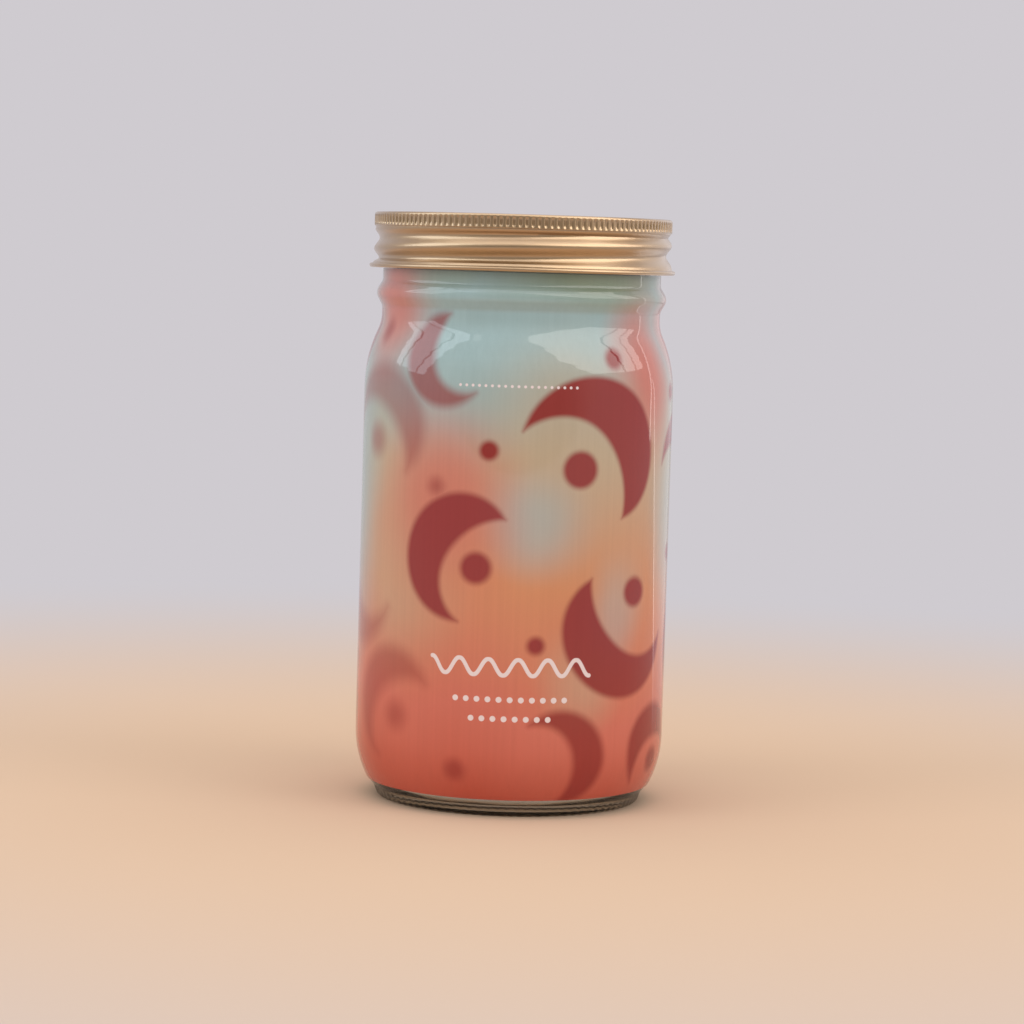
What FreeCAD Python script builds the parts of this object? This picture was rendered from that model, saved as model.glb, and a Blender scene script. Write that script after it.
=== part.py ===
import FreeCAD, Part
import math
import os

# Hydroponic jar planter: a wide-mouth glass jar in a printed sleeve, closed by a two-piece screw lid.
# A perforated net pot hangs in its mouth, and the pieces of the growing kit stand inside.
# Millimetres, +Z up the jar's axis, origin at the middle of the face it stands on.

# Glass jar: an inset is measured in from the body's radius, a drop down from the rim,
# and a round is the radius that rounds a corner of the outline
jar_height = 172.5
body_radius = 46.1
neck_inset = 4.7
glass_wall = 2.8
shoulder_drop = 40.7
shoulder_round = 41.0
neck_drop = 30.4
neck_round = 11.5
heel_height = 13.1
heel_round = 31.7
heel_inset = 3.65
heel_low_height = 5.1
heel_low_round = 11.3
seam_inset = 4.95
seam_height = 3.7
seam_step = 0.45
seam_drop = 0.3
foot_inset = 6.7
foot_round = 0.9
foot_width = 4.4
punt_height = 2.4
punt_run = 4.2
punt_round = 3.0
floor_height = 6.2
floor_crown = 0.4
floor_round = 5.0
rim_outer_round = 1.3
rim_inner_round = 0.9

# Bead below the finish
bead_drop = 21.5
bead_projection = 2.15
bead_round = 3.0
bead_low_drop = 25.5
bead_low_round = 3.0
bead_top_drop = 18.0
bead_top_round = 2.5

# Notches round the contact ring
contact_notch_count = 90
contact_notch_radius = 0.45
contact_notch_reach = 1.9

# Screw thread, right-handed; the pressed ridge of the band faces the front at its own drop
thread_lead = 6.35
thread_projection = 1.5
thread_crest_half = 0.5
thread_base_half = 1.6
thread_root_sink = 0.5
thread_start_drop = 12.1
thread_end_drop = 2.9
thread_seat = 1.4
thread_fade_angle = 30.0
thread_step_angle = 12.0
thread_tip_share = 0.15
front_angle = -90.0

# Printed sleeve round the glass
sleeve_thickness = 0.25
sleeve_low_height = 5.2
sleeve_top_drop = 14.1

# Lid: disc, seal and screw band
seat_gap = 0.05
lid_sheet = 0.4
seal_thickness = 0.8
seal_width = 3.0
disc_overhang = 1.2
disc_skirt = 1.3
disc_round = 0.6
disc_bead_inset = 14.6
disc_bead_width = 5.5
disc_bead_slope = 1.5
disc_bead_rise = 0.3
disc_bead_round = 0.8
band_play = 1.6
band_sheet = 0.35
band_lip_width = 6.9
band_corner_round = 0.85
band_corner_height = 1.0
knurl_count = 150
knurl_depth = 0.3
knurl_height = 3.15
knurl_land_share = 0.52
wave_depth = 0.8
wave_fade = 1.5
wave_ridge_drop = 7.0
wave_sections_per_turn = 12
wave_foot_gain = 0.25
band_height = 16.5
band_collar_height = 0.2
band_join_margin = 0.1
roll_height = 1.35
roll_neck = 0.1
roll_projection = 1.25
roll_round = 0.66

# Net pot
pot_sheet = 0.55
pot_depth = 58.0
pot_flange_inset = 0.5
pot_bore_clearance = 0.7
pot_taper = 4.4
pot_flange_round = 1.0
pot_floor_round = 5.0
pot_hole_radius = 2.6
pot_hole_rows = 4
pot_hole_columns = 16
pot_hole_margin = 9.0
pot_drain_radius = 2.0
pot_drain_count = 16
pot_drain_inset = 7.5

# Felt wick, threaded through two slots in the pot's floor
wick_width = 20.0
wick_thickness = 2.0
wick_half_span = 10.0
wick_round = 2.6
wick_end_height = 18.0
slot_clearance = 0.6
rest_gap = 0.1

# Pressed growing medium
medium_thickness = 13.0
medium_clearance = 1.4
medium_round = 1.5

# Sachets on the floor of the jar
sachet_length = 44.0
sachet_side_gap = 3.3
sachet_crown = 7.0
sachet_fin = 0.5
sachet_hem = 3.0
sachet_gap = 2.2

# Flat paper pieces that stand in the jar, each as tall as its headroom under the pot leaves it
paper_reach_share = 0.935
paper_corner_gap = 0.5
paper_lift = 2.4
packet_width = 50.0
packet_thickness = 1.8
packet_headroom = 26.0
card_width = 50.0
card_leaf = 0.4
card_fold_gap = 0.5
card_headroom = 11.0

# One overrun for every cut
overrun = 2.0

# Derived sizes
full_turn = 360.0
neck_radius = body_radius - neck_inset
bore_radius = neck_radius - glass_wall
foot_radius = body_radius - foot_inset
thread_radius = neck_radius + thread_projection
thread_start_height = jar_height - thread_start_drop
thread_end_height = jar_height - thread_end_drop
flange_low = jar_height + seat_gap
flange_top = flange_low + pot_sheet
seal_low = flange_top + seat_gap
disc_low = seal_low + seal_thickness
disc_top = disc_low + lid_sheet
disc_radius = neck_radius + disc_overhang
band_radius = thread_radius + band_play
band_under_lip = disc_top + seat_gap
band_top = band_under_lip + lid_sheet
band_low = band_top - band_height
knurl_top = band_top - band_corner_height
knurl_low = knurl_top - knurl_height
knurl_inner_radius = band_radius - knurl_depth - band_sheet
wave_ridge_height = jar_height - wave_ridge_drop
wave_mean_radius = band_radius - wave_depth
wave_high = knurl_low - band_collar_height
wave_high_radius = band_radius - knurl_depth - band_join_margin
wave_low = band_low + roll_height + roll_neck
wave_low_radius = band_radius + wave_foot_gain
pot_low = flange_low - pot_depth
pot_flange_radius = neck_radius - pot_flange_inset
pot_wall_radius = bore_radius - pot_bore_clearance
pot_floor_radius = pot_wall_radius - pot_taper
pot_floor_top = pot_low + pot_sheet
wick_low_face = pot_floor_top + rest_gap
wick_top = wick_low_face + wick_thickness
paper_low = floor_height + paper_lift
card_thickness = 2 * card_leaf + card_fold_gap


def point(radius, height):
    """A point of an outline, drawn in the XZ plane."""
    return FreeCAD.Vector(radius, 0, height)


def unit(start, end):
    """Direction from one corner of an outline to the next, and the distance."""
    run = end[0] - start[0]
    rise = end[1] - start[1]
    length = math.hypot(run, rise)
    return run / length, rise / length, length


def corner_tangent(corners, index):
    """How far a rounded corner reaches along its two sides."""
    if index in (0, len(corners) - 1):
        return 0.0
    ahead = unit(corners[index - 1], corners[index])
    beyond = unit(corners[index], corners[index + 1])
    turn = math.acos(max(-1.0, min(1.0, ahead[0] * beyond[0] + ahead[1] * beyond[1])))
    return corners[index][2] * math.tan(turn / 2)


def fitted(corners):
    """The same corners, with each round limited to what its two sides can hold."""
    reach = [corner_tangent(corners, index) for index in range(len(corners))]
    result = [corners[0]]
    for index in range(1, len(corners) - 1):
        share = 1.0
        for side in (index - 1, index):
            length = unit(corners[side], corners[side + 1])[2]
            wanted = reach[side] + reach[side + 1]
            if wanted > length:
                share = min(share, length / wanted)
        radius, height, rounding = corners[index]
        result.append((radius, height, rounding * share))
    result.append(corners[-1])
    return result


def outline(corners):
    """Edges through the corners, with a tangent arc at each corner that has a round."""
    corners = fitted(corners)
    edges = []
    last = point(corners[0][0], corners[0][1])
    for index in range(1, len(corners) - 1):
        radius, height, rounding = corners[index]
        if rounding == 0:
            edges.append(Part.LineSegment(last, point(radius, height)).toShape())
            last = point(radius, height)
            continue
        ahead = unit(corners[index - 1], corners[index])
        beyond = unit(corners[index], corners[index + 1])
        reach = corner_tangent(corners, index)
        start = point(radius - ahead[0] * reach, height - ahead[1] * reach)
        end = point(radius + beyond[0] * reach, height + beyond[1] * reach)
        inward = point(beyond[0] - ahead[0], beyond[1] - ahead[1]).normalize()
        to_centre = math.hypot(rounding, reach)
        middle = point(radius, height) + inward * (to_centre - rounding)
        if (start - last).Length > rounding * 1e-6:
            edges.append(Part.LineSegment(last, start).toShape())
        edges.append(Part.Arc(start, middle, end).toShape())
        last = end
    edges.append(Part.LineSegment(last, point(corners[-1][0], corners[-1][1])).toShape())
    return edges


def grown(corners, skin):
    """The outline moved by skin to the right of its travel, as a wall's other face is."""
    sides = [unit(corners[i], corners[i + 1]) for i in range(len(corners) - 1)]
    normals = [(side[1], -side[0]) for side in sides]
    result = []
    for index, (radius, height, rounding) in enumerate(corners):
        before = normals[max(index - 1, 0)]
        after = normals[min(index, len(normals) - 1)]
        spread = 1 + before[0] * after[0] + before[1] * after[1]
        radius += skin * (before[0] + after[0]) / spread
        height += skin * (before[1] + after[1]) / spread
        if rounding:
            left_turn = before[0] * after[1] - before[1] * after[0] > 0
            rounding = max(rounding + (skin if left_turn else -skin), 0)
        result.append((radius, height, rounding))
    return result


def closed_face(edges):
    """Face inside a run of edges, closed by a straight line from its end to its start."""
    wire = Part.Wire(Part.__sortEdges__(edges))
    ends = wire.OrderedVertexes
    if not wire.isClosed():
        edges = edges + [Part.LineSegment(ends[-1].Point, ends[0].Point).toShape()]
        wire = Part.Wire(Part.__sortEdges__(edges))
    return Part.Face(wire)


def spun(corners):
    """Solid of revolution of an outline that starts and ends on the axis or is closed by a line."""
    return closed_face(outline(corners)).revolve(point(0, 0), FreeCAD.Vector(0, 0, 1), full_turn)


def sheet_face(corners, thickness):
    """Cross-section of a sheet of even thickness that follows an outline."""
    one_side = outline(corners)
    other_corners = grown(corners, thickness)
    other_side = outline(other_corners)
    caps = [Part.LineSegment(point(*corners[end][:2]), point(*other_corners[end][:2])).toShape()
            for end in (0, -1)]
    return Part.Face(Part.Wire(Part.__sortEdges__(one_side + other_side + caps)))


def spun_sheet(corners, thickness):
    """Sheet metal part of revolution that follows an outline."""
    return sheet_face(corners, thickness).revolve(point(0, 0), FreeCAD.Vector(0, 0, 1), full_turn)


def drum(radius, low, high):
    """Upright cylinder on the axis."""
    return Part.makeCylinder(radius, high - low, point(0, low))


def ring(inner_radius, outer_radius, low, high):
    """Plain ring on the axis."""
    return drum(outer_radius, low, high).cut(drum(inner_radius, low - overrun, high + overrun))


def around(shape, angle):
    """Copy of a shape, turned about the axis."""
    copy = shape.copy()
    copy.rotate(point(0, 0), FreeCAD.Vector(0, 0, 1), angle)
    return copy


def glass_outside():
    """Corners of the glass from the seam above the foot up to the rim."""
    return [
        (body_radius - seam_inset, seam_height, 0),
        (body_radius - heel_inset, heel_low_height, heel_low_round),
        (body_radius, heel_height, heel_round),
        (body_radius, jar_height - shoulder_drop, shoulder_round),
        (neck_radius, jar_height - neck_drop, neck_round),
        (neck_radius, jar_height - bead_low_drop, bead_low_round),
        (neck_radius + bead_projection, jar_height - bead_drop, bead_round),
        (neck_radius, jar_height - bead_top_drop, bead_top_round),
        (neck_radius, jar_height, rim_outer_round),
    ]


def glass_foot():
    """Corners of the underside, from the axis out to the seam."""
    foot_inner = foot_radius - foot_width
    return [
        (0, punt_height, 0),
        (foot_inner - punt_run, punt_height, punt_round),
        (foot_inner, 0, foot_round),
        (foot_radius, 0, foot_round),
        (body_radius - seam_inset - seam_step, seam_height - seam_drop, 0),
    ]


def glass_inside():
    """Corners of the inner wall, from the rim down to the floor."""
    inner = grown(glass_outside()[1:5], -glass_wall)
    low_corner = inner[0]
    heel_corner = inner[1]
    slope = (heel_corner[0] - low_corner[0]) / (heel_corner[1] - low_corner[1])
    floor_radius = heel_corner[0] - slope * (heel_corner[1] - floor_height)
    return [
        (bore_radius, jar_height, rim_inner_round),
        (bore_radius, inner[3][1], neck_round + glass_wall),
        (inner[2][0], inner[2][1], shoulder_round - glass_wall),
        (heel_corner[0], heel_corner[1], heel_round - glass_wall),
        (floor_radius, floor_height, floor_round),
        (0, floor_height + floor_crown, 0),
    ]


def ridge_angle(height):
    """Where round the axis the band's pressed ridge stands out at a height."""
    return front_angle + full_turn * (height - wave_ridge_height) / thread_lead


def thread_section(angle, height, share):
    """Cross-section of the glass thread at an angle, shrunk by a share where it fades."""
    crest = neck_radius + (thread_radius - neck_radius) * share
    root = neck_radius - thread_root_sink
    base_half = thread_base_half * math.sqrt(share)
    crest_half = thread_crest_half * share
    places = [(root, -base_half), (crest, -crest_half), (crest, crest_half), (root, base_half)]
    corners = [point(radius, height + rise) for radius, rise in places]
    return around(Part.makePolygon(corners + corners[:1]), angle)


def glass_thread():
    """Helical thread ridge, drawn as sections along the helix that fade out at both ends."""
    sweep = full_turn * (thread_end_height - thread_start_height) / thread_lead
    start_angle = ridge_angle(thread_start_height + thread_seat)
    steps = math.ceil(sweep / thread_step_angle)
    sections = []
    for step in range(steps + 1):
        turned = sweep * step / steps
        from_end = min(turned, sweep - turned)
        share = min(1.0, thread_tip_share + (1 - thread_tip_share) * from_end / thread_fade_angle)
        height = thread_start_height + thread_lead * turned / full_turn
        sections.append(thread_section(start_angle + turned, height, share))
    return Part.makeLoft(sections, True, False)


def contact_notches():
    """Cutters for the ring of small notches at the outer edge of the contact face."""
    start = FreeCAD.Vector(foot_radius - contact_notch_reach, 0, 0)
    cutter = Part.makeCylinder(contact_notch_radius, contact_notch_reach + overrun, start,
                               FreeCAD.Vector(1, 0, 0))
    step = full_turn / contact_notch_count
    return Part.makeCompound([around(cutter, step * index) for index in range(contact_notch_count)])


def make_glass_jar():
    shell = spun(glass_foot() + glass_outside() + glass_inside())
    return shell.fuse(glass_thread()).cut(contact_notches())


def make_printed_sleeve():
    """Thin skin over heel, body, shoulder, bead and neck."""
    wall = glass_outside()
    skin = spun_sheet(wall, sleeve_thickness)
    window = drum(body_radius + overrun, sleeve_low_height, jar_height - sleeve_top_drop)
    return skin.common(window)


def make_lid_disc():
    """Stamped disc with one pressed ring and a short skirt that hugs the rim."""
    bead_inner = disc_radius - disc_bead_inset
    bead_outer = bead_inner + disc_bead_width
    bead_top = disc_top + disc_bead_rise
    corners = [
        (0, disc_top, 0),
        (bead_inner, disc_top, disc_bead_round),
        (bead_inner + disc_bead_slope, bead_top, disc_bead_round),
        (bead_outer - disc_bead_slope, bead_top, disc_bead_round),
        (bead_outer, disc_top, disc_bead_round),
        (disc_radius, disc_top, disc_round),
        (disc_radius, disc_top - disc_skirt, 0),
    ]
    return spun_sheet(corners, lid_sheet)


def make_lid_seal():
    """Ring of sealing compound under the disc, over the rim and the pot's flange."""
    outer = disc_radius - lid_sheet - disc_round
    return ring(outer - seal_width, outer, seal_low, disc_low)


def knurl_ring():
    """Upright wall of the band, fluted all round."""
    step = full_turn / knurl_count
    land = step * knurl_land_share
    edges = []
    for index in range(knurl_count):
        start = step * index

        def place(radius, angle):
            turn = math.radians(start + angle)
            return FreeCAD.Vector(radius * math.cos(turn), radius * math.sin(turn), knurl_low)

        edges.append(Part.Arc(place(band_radius, 0), place(band_radius, land / 2),
                              place(band_radius, land)).toShape())
        edges.append(Part.Arc(place(band_radius, land),
                              place(band_radius - knurl_depth, (land + step) / 2),
                              place(band_radius, step)).toShape())
    prism = Part.Face(Part.Wire(edges)).extrude(FreeCAD.Vector(0, 0, knurl_height))
    return prism.cut(drum(knurl_inner_radius, knurl_low - overrun, knurl_top + overrun))


def eased(distance):
    """Share from 0 to 1 over the fade of the wave, without a kink at either end."""
    share = min(1.0, distance / wave_fade)
    return share * share * (3 - 2 * share)


def wave_circle(height, inset):
    """Section of the pressed wall: a circle whose centre spirals about the axis with the lead."""
    top_share = eased(wave_high - height)
    low_share = eased(height - wave_low)
    offset = wave_depth * top_share * low_share
    radius = wave_mean_radius - inset
    radius += (wave_high_radius - wave_mean_radius) * (1 - top_share)
    radius += (wave_low_radius - wave_mean_radius) * (1 - low_share)
    turn = math.radians(ridge_angle(height))
    centre = FreeCAD.Vector(offset * math.cos(turn), offset * math.sin(turn), height)
    return Part.Wire(Part.makeCircle(radius, centre))


def thread_wall():
    """Wall with the pressed thread: two skins through the circles, closed by a ring at each end."""
    tall = wave_high - wave_low
    steps = math.ceil(tall * wave_sections_per_turn / thread_lead)
    heights = [wave_low + tall * step / steps for step in range(steps + 1)]
    outer = [wave_circle(height, 0) for height in heights]
    inner = [wave_circle(height, band_sheet) for height in heights]
    faces = Part.makeLoft(outer, False, True).Faces + Part.makeLoft(inner, False, True).Faces
    for end in (0, -1):
        faces += Part.Face(outer[end]).cut(Part.Face(inner[end])).Faces
    shell = Part.makeShell(faces)
    shell.sewShape()
    return Part.makeSolid(shell)


def rolled_rim():
    """Rolled lower edge of the band, with a short neck that joins the thread wall."""
    inner = wave_low_radius - band_sheet - band_join_margin
    outer = band_radius + roll_projection
    neck = wave_low_radius + band_join_margin
    return spun([
        (inner, wave_low, 0),
        (inner, band_low, roll_round),
        (outer, band_low, roll_round),
        (outer, band_low + roll_height, roll_round),
        (neck, band_low + roll_height, 0),
        (neck, wave_low, 0),
    ])


def band_lip():
    """Inward lip that holds the disc down, with the rounded top corner."""
    opening_radius = band_radius - band_lip_width
    return spun([
        (opening_radius, band_under_lip, 0),
        (knurl_inner_radius, band_under_lip, 0),
        (knurl_inner_radius, knurl_top, 0),
        (band_radius, knurl_top, 0),
        (band_radius, band_top, band_corner_round),
        (opening_radius, band_top, 0),
    ])


def make_screw_band():
    """Lip and corner, knurled wall, collar, pressed thread and rolled rim, as one sheet part."""
    collar = ring(wave_high_radius - band_sheet - band_join_margin / 2,
                  wave_high_radius + band_join_margin / 2, wave_high, knurl_low)
    upper = band_lip().multiFuse([knurl_ring(), collar])
    lower = thread_wall().fuse(rolled_rim())
    return upper.fuse(lower)


def pot_outline():
    """Corners of the pot's outer face, from the flange's edge down to the middle of its floor."""
    return [
        (pot_flange_radius, flange_low, 0),
        (pot_wall_radius, flange_low, pot_flange_round),
        (pot_floor_radius, pot_low, pot_floor_round),
        (0, pot_low, 0),
    ]


def pot_wall_holes():
    """Cutters for the staggered rows of round holes in the pot's wall."""
    low = pot_low + pot_hole_margin
    high = flange_low - pot_hole_margin
    start = pot_floor_radius - pot_floor_round
    step = full_turn / pot_hole_columns
    cutters = []
    for row in range(pot_hole_rows):
        height = low + (high - low) * row / (pot_hole_rows - 1)
        cutter = Part.makeCylinder(pot_hole_radius, pot_flange_radius - start,
                                   FreeCAD.Vector(start, 0, height), FreeCAD.Vector(1, 0, 0))
        stagger = step / 2 * (row % 2)
        cutters += [around(cutter, step * column + stagger) for column in range(pot_hole_columns)]
    return cutters


def pot_floor_holes():
    """Cutters for the drain holes and the two wick slots."""
    low = pot_low - overrun
    tall = pot_sheet + 2 * overrun
    drain = Part.makeCylinder(pot_drain_radius, tall, point(pot_floor_radius - pot_drain_inset, low))
    step = full_turn / pot_drain_count
    cutters = [around(drain, step * (index + 1 / 2)) for index in range(pot_drain_count)]
    slot_length = wick_width + 2 * slot_clearance
    slot_width = wick_thickness + 2 * slot_clearance
    for side in (-1, 1):
        middle = side * (wick_half_span - wick_thickness / 2)
        corner = FreeCAD.Vector(middle - slot_width / 2, -slot_length / 2, low)
        cutters.append(Part.makeBox(slot_width, slot_length, tall, corner))
    return cutters


def make_net_pot():
    cup = spun_sheet(pot_outline(), pot_sheet)
    return cup.cut(Part.makeCompound(pot_wall_holes() + pot_floor_holes()))


def make_wick():
    """Felt strip over the pot's floor, with both ends hanging through the slots."""
    corners = [
        (-wick_half_span, wick_end_height, 0),
        (-wick_half_span, wick_top, wick_round),
        (wick_half_span, wick_top, wick_round),
        (wick_half_span, wick_end_height, 0),
    ]
    strip = sheet_face(corners, wick_thickness).extrude(FreeCAD.Vector(0, wick_width, 0))
    strip.translate(FreeCAD.Vector(0, -wick_width / 2, 0))
    return strip


def make_grow_medium():
    """Pressed puck that lies on the wick."""
    radius = pot_floor_radius - pot_sheet - medium_clearance
    low = wick_top + rest_gap
    high = low + medium_thickness
    return spun([(0, low, 0), (radius, low, medium_round), (radius, high, medium_round), (0, high, 0)])


def lens_prism(half_width, half_crown, length):
    """Bar along Y with a section of two shallow arcs."""
    left = point(-half_width, 0)
    right = point(half_width, 0)
    upper = Part.Arc(left, point(0, half_crown), right).toShape()
    lower = Part.Arc(right, point(0, -half_crown), left).toShape()
    bar = Part.Face(Part.Wire([upper, lower])).extrude(FreeCAD.Vector(0, length, 0))
    bar.translate(FreeCAD.Vector(0, -length / 2, 0))
    return bar


def paper_distance(width):
    """How far from the axis a flat piece stands, with its two upright edges near the glass."""
    inner_radius = body_radius - glass_wall
    reach = inner_radius * paper_reach_share - paper_corner_gap
    return math.sqrt(reach ** 2 - (width / 2) ** 2)


def make_sachet(side):
    """Crowned sachet with a flat sealed hem, lying on the jar's floor to one side of the middle."""
    papers = [paper_distance(packet_width) - packet_thickness, paper_distance(card_width) - card_thickness]
    sachet_width = min(papers) - sachet_side_gap - sachet_gap / 2
    half_crown = sachet_crown / 2
    across = lens_prism(sachet_width / 2 - sachet_hem / 2, half_crown, sachet_length)
    along = around(lens_prism(sachet_length / 2 - sachet_hem / 2, half_crown, sachet_width), 90)
    corner = FreeCAD.Vector(-sachet_width / 2, -sachet_length / 2, -sachet_fin / 2)
    hem = Part.makeBox(sachet_width, sachet_length, sachet_fin, corner)
    sachet = across.common(along).fuse(hem)
    middle = side * (sachet_width + sachet_gap) / 2
    sachet.translate(FreeCAD.Vector(middle, 0, floor_height + floor_crown + rest_gap + half_crown))
    return sachet


def make_seed_packet():
    """Flat packet that stands on the heel of the glass at the right."""
    outer = paper_distance(packet_width)
    corner = FreeCAD.Vector(outer - packet_thickness, -packet_width / 2, paper_low)
    return Part.makeBox(packet_thickness, packet_width, pot_low - packet_headroom - paper_low, corner)


def make_growing_card():
    """Card folded once along an upright edge, which stands at the left."""
    outer = -paper_distance(card_width)
    tall = pot_low - card_headroom - paper_low
    corner = FreeCAD.Vector(outer, -card_width / 2, paper_low)
    block = Part.makeBox(card_thickness, card_width, tall, corner)
    gap_corner = FreeCAD.Vector(outer + card_leaf, card_leaf - card_width / 2, paper_low - overrun)
    return block.cut(Part.makeBox(card_fold_gap, card_width, tall + 2 * overrun, gap_corner))


def solid_of(shape):
    """The one solid of a finished piece."""
    solids = shape.removeSplitter().Solids
    if len(solids) != 1:
        raise ValueError("a piece came out as %d solids" % len(solids))
    return solids[0]


pieces = {
    "glass_jar": make_glass_jar,
    "printed_sleeve": make_printed_sleeve,
    "screw_band": make_screw_band,
    "lid_disc": make_lid_disc,
    "lid_seal": make_lid_seal,
    "net_pot": make_net_pot,
    "wick": make_wick,
    "grow_medium": make_grow_medium,
    "carbon_sachet": lambda: make_sachet(-1),
    "food_sachet": lambda: make_sachet(1),
    "seed_packet": make_seed_packet,
    "growing_card": make_growing_card,
}

os.makedirs("parts", exist_ok=True)
for name, make in pieces.items():
    solid = solid_of(make())
    if not solid.isValid():
        raise ValueError(name + " is not a valid solid")
    solid.exportStep("parts/" + name + ".step")
    box = solid.BoundBox
    print("%-15s %9.0f mm3  z %.2f to %.2f  x %.2f to %.2f"
          % (name, solid.Volume, box.ZMin, box.ZMax, box.XMin, box.XMax))
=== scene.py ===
"""Visual pieces, finishes and studio for a hydroponic jar planter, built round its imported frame.

Lengths are metres. +Z runs up the jar's axis and the printed front faces -Y.
"""
import math
from functools import reduce

import bmesh
import bpy
from bpy.props import FloatProperty, FloatVectorProperty, IntProperty, PointerProperty
from mathutils import Euler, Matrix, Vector, noise


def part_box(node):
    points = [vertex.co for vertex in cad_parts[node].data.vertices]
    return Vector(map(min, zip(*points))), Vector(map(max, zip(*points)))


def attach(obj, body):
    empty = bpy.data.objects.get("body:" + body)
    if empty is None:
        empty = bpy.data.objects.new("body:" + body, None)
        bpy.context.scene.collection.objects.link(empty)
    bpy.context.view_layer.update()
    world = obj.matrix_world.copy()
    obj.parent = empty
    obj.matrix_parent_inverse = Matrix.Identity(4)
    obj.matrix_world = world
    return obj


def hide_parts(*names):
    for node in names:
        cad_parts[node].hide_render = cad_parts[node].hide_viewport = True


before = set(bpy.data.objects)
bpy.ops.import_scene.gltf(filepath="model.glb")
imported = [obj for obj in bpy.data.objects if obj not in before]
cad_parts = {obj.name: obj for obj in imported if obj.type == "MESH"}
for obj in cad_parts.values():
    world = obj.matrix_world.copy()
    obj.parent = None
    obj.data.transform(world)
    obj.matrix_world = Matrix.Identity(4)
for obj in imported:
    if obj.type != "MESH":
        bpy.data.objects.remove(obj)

bl_info = {
    "name": "Jar planter",
    "version": (1, 0, 0),
    "blender": (4, 5, 0),
    "location": "View3D > Sidebar > Jar planter",
    "description": "Builds the visible pieces, finishes and studio of a hydroponic jar planter",
    "category": "Object",
}

# Units and small limits
MM = 0.001
FULL_TURN = 2 * math.pi
ON_AXIS = 0.01 * MM
DOUBLED = 0.001 * MM
ARC_STEP = math.radians(7)
SHARP_ANGLE = math.radians(38)

# Places that the frame gives
RIM_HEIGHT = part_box("glass_jar")[1].z
BODY_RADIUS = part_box("glass_jar")[1].x
BAND_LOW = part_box("screw_band")[0].z
BAND_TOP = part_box("screw_band")[1].z
DISC_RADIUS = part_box("lid_disc")[1].x

# Outline of the glass: insets from the body's radius, drops below the rim, and corner rounds
SEAM_INSET = 4.95 * MM
SEAM_HEIGHT = 3.7 * MM
SEAM_STEP = 0.45 * MM
SEAM_DROP = 0.3 * MM
HEEL_INSET = 3.65 * MM
HEEL_LOW_HEIGHT = 5.1 * MM
HEEL_LOW_ROUND = 11.3 * MM
HEEL_HEIGHT = 13.1 * MM
HEEL_ROUND = 31.7 * MM
SHOULDER_DROP = 40.7 * MM
SHOULDER_ROUND = 41.0 * MM
NECK_INSET = 4.7 * MM
NECK_DROP = 30.4 * MM
NECK_ROUND = 11.5 * MM
BEAD_LOW_DROP = 25.5 * MM
BEAD_DROP = 21.5 * MM
BEAD_TOP_DROP = 18.0 * MM
BEAD_PROJECTION = 2.15 * MM
BEAD_ROUND = 3.0 * MM
BEAD_TOP_ROUND = 2.5 * MM
RIM_OUTER_ROUND = 1.3 * MM
RIM_INNER_ROUND = 0.9 * MM
FOOT_INSET = 6.7 * MM
FOOT_WIDTH = 4.4 * MM
FOOT_ROUND = 0.9 * MM
PUNT_HEIGHT = 2.4 * MM
PUNT_RUN = 4.2 * MM
PUNT_ROUND = 3.0 * MM
FLOOR_HEIGHT = 6.2 * MM
FLOOR_CROWN = 0.4 * MM
FLOOR_ROUND = 5.0 * MM
NECK_RADIUS = BODY_RADIUS - NECK_INSET
FOOT_RADIUS = BODY_RADIUS - FOOT_INSET
NOTCH_TOP = 1.2 * MM
NOTCH_FULL = 0.1 * MM
NOTCH_INNER = FOOT_RADIUS - 2.2 * MM
NOTCH_OUTER = FOOT_RADIUS - 0.7 * MM
NOTCH_LIFT = 0.35

# Screw thread of glass and band
THREAD_LEAD = 6.35 * MM
THREAD_SEAT = 1.4 * MM
THREAD_PROJECTION = 1.5 * MM
THREAD_HALF_WIDTH = 1.6 * MM
THREAD_START_DROP = 12.1 * MM
THREAD_END_DROP = 2.9 * MM
THREAD_FADE = 0.5 * MM
THREAD_CREST = 0.3
THREAD_ROWS_LOW_DROP = 13.5 * MM
THREAD_ROWS_TOP_DROP = 1.6 * MM
RIDGE_DROP = 7.0 * MM

# Outline of the band
SHEET = 0.35 * MM
BAND_RADIUS = NECK_RADIUS + 3.1 * MM
BAND_OPENING = BAND_RADIUS - 6.9 * MM
LIP_SHEET = 0.4 * MM
BAND_CORNER_ROUND = 0.85 * MM
KNURL_TOP = BAND_TOP - 1.0 * MM
KNURL_LOW = KNURL_TOP - 3.15 * MM
KNURL_WALL = 0.65 * MM
KNURL_EDGE = 0.25 * MM
WAVE_HIGH = KNURL_LOW - 0.2 * MM
WAVE_HIGH_RADIUS = BAND_RADIUS - 0.4 * MM
WAVE_LOW = BAND_LOW + 1.45 * MM
WAVE_LOW_RADIUS = BAND_RADIUS + 0.25 * MM
WAVE_DEPTH = 0.8 * MM
WAVE_FADE = 1.5 * MM
WAVE_ROWS = 24
ROLL_HEIGHT = 1.35 * MM
ROLL_RADIUS = BAND_RADIUS + 1.25 * MM
ROLL_ROUND = 0.66 * MM
ROLL_THICKNESS = 1.45 * MM


def colour(name, description, *screen):
    """Colour property from an eight-bit screen colour, kept in linear light."""
    shares = [value / 255 for value in screen]
    linear = [share / 12.92 if share <= 0.04045 else ((share + 0.055) / 1.055) ** 2.4 for share in shares]
    return FloatVectorProperty(name=name, description=description, default=linear + [1.0], size=4,
                               subtype="COLOR", min=0, max=1)


def length(name, description, default):
    return FloatProperty(name=name, description=description, default=default, unit="LENGTH", precision=5)


def number(name, description, default):
    return IntProperty(name=name, description=description, default=default)


def angle(name, description, degrees):
    return FloatProperty(name=name, description=description, default=math.radians(degrees), subtype="ANGLE")


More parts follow.
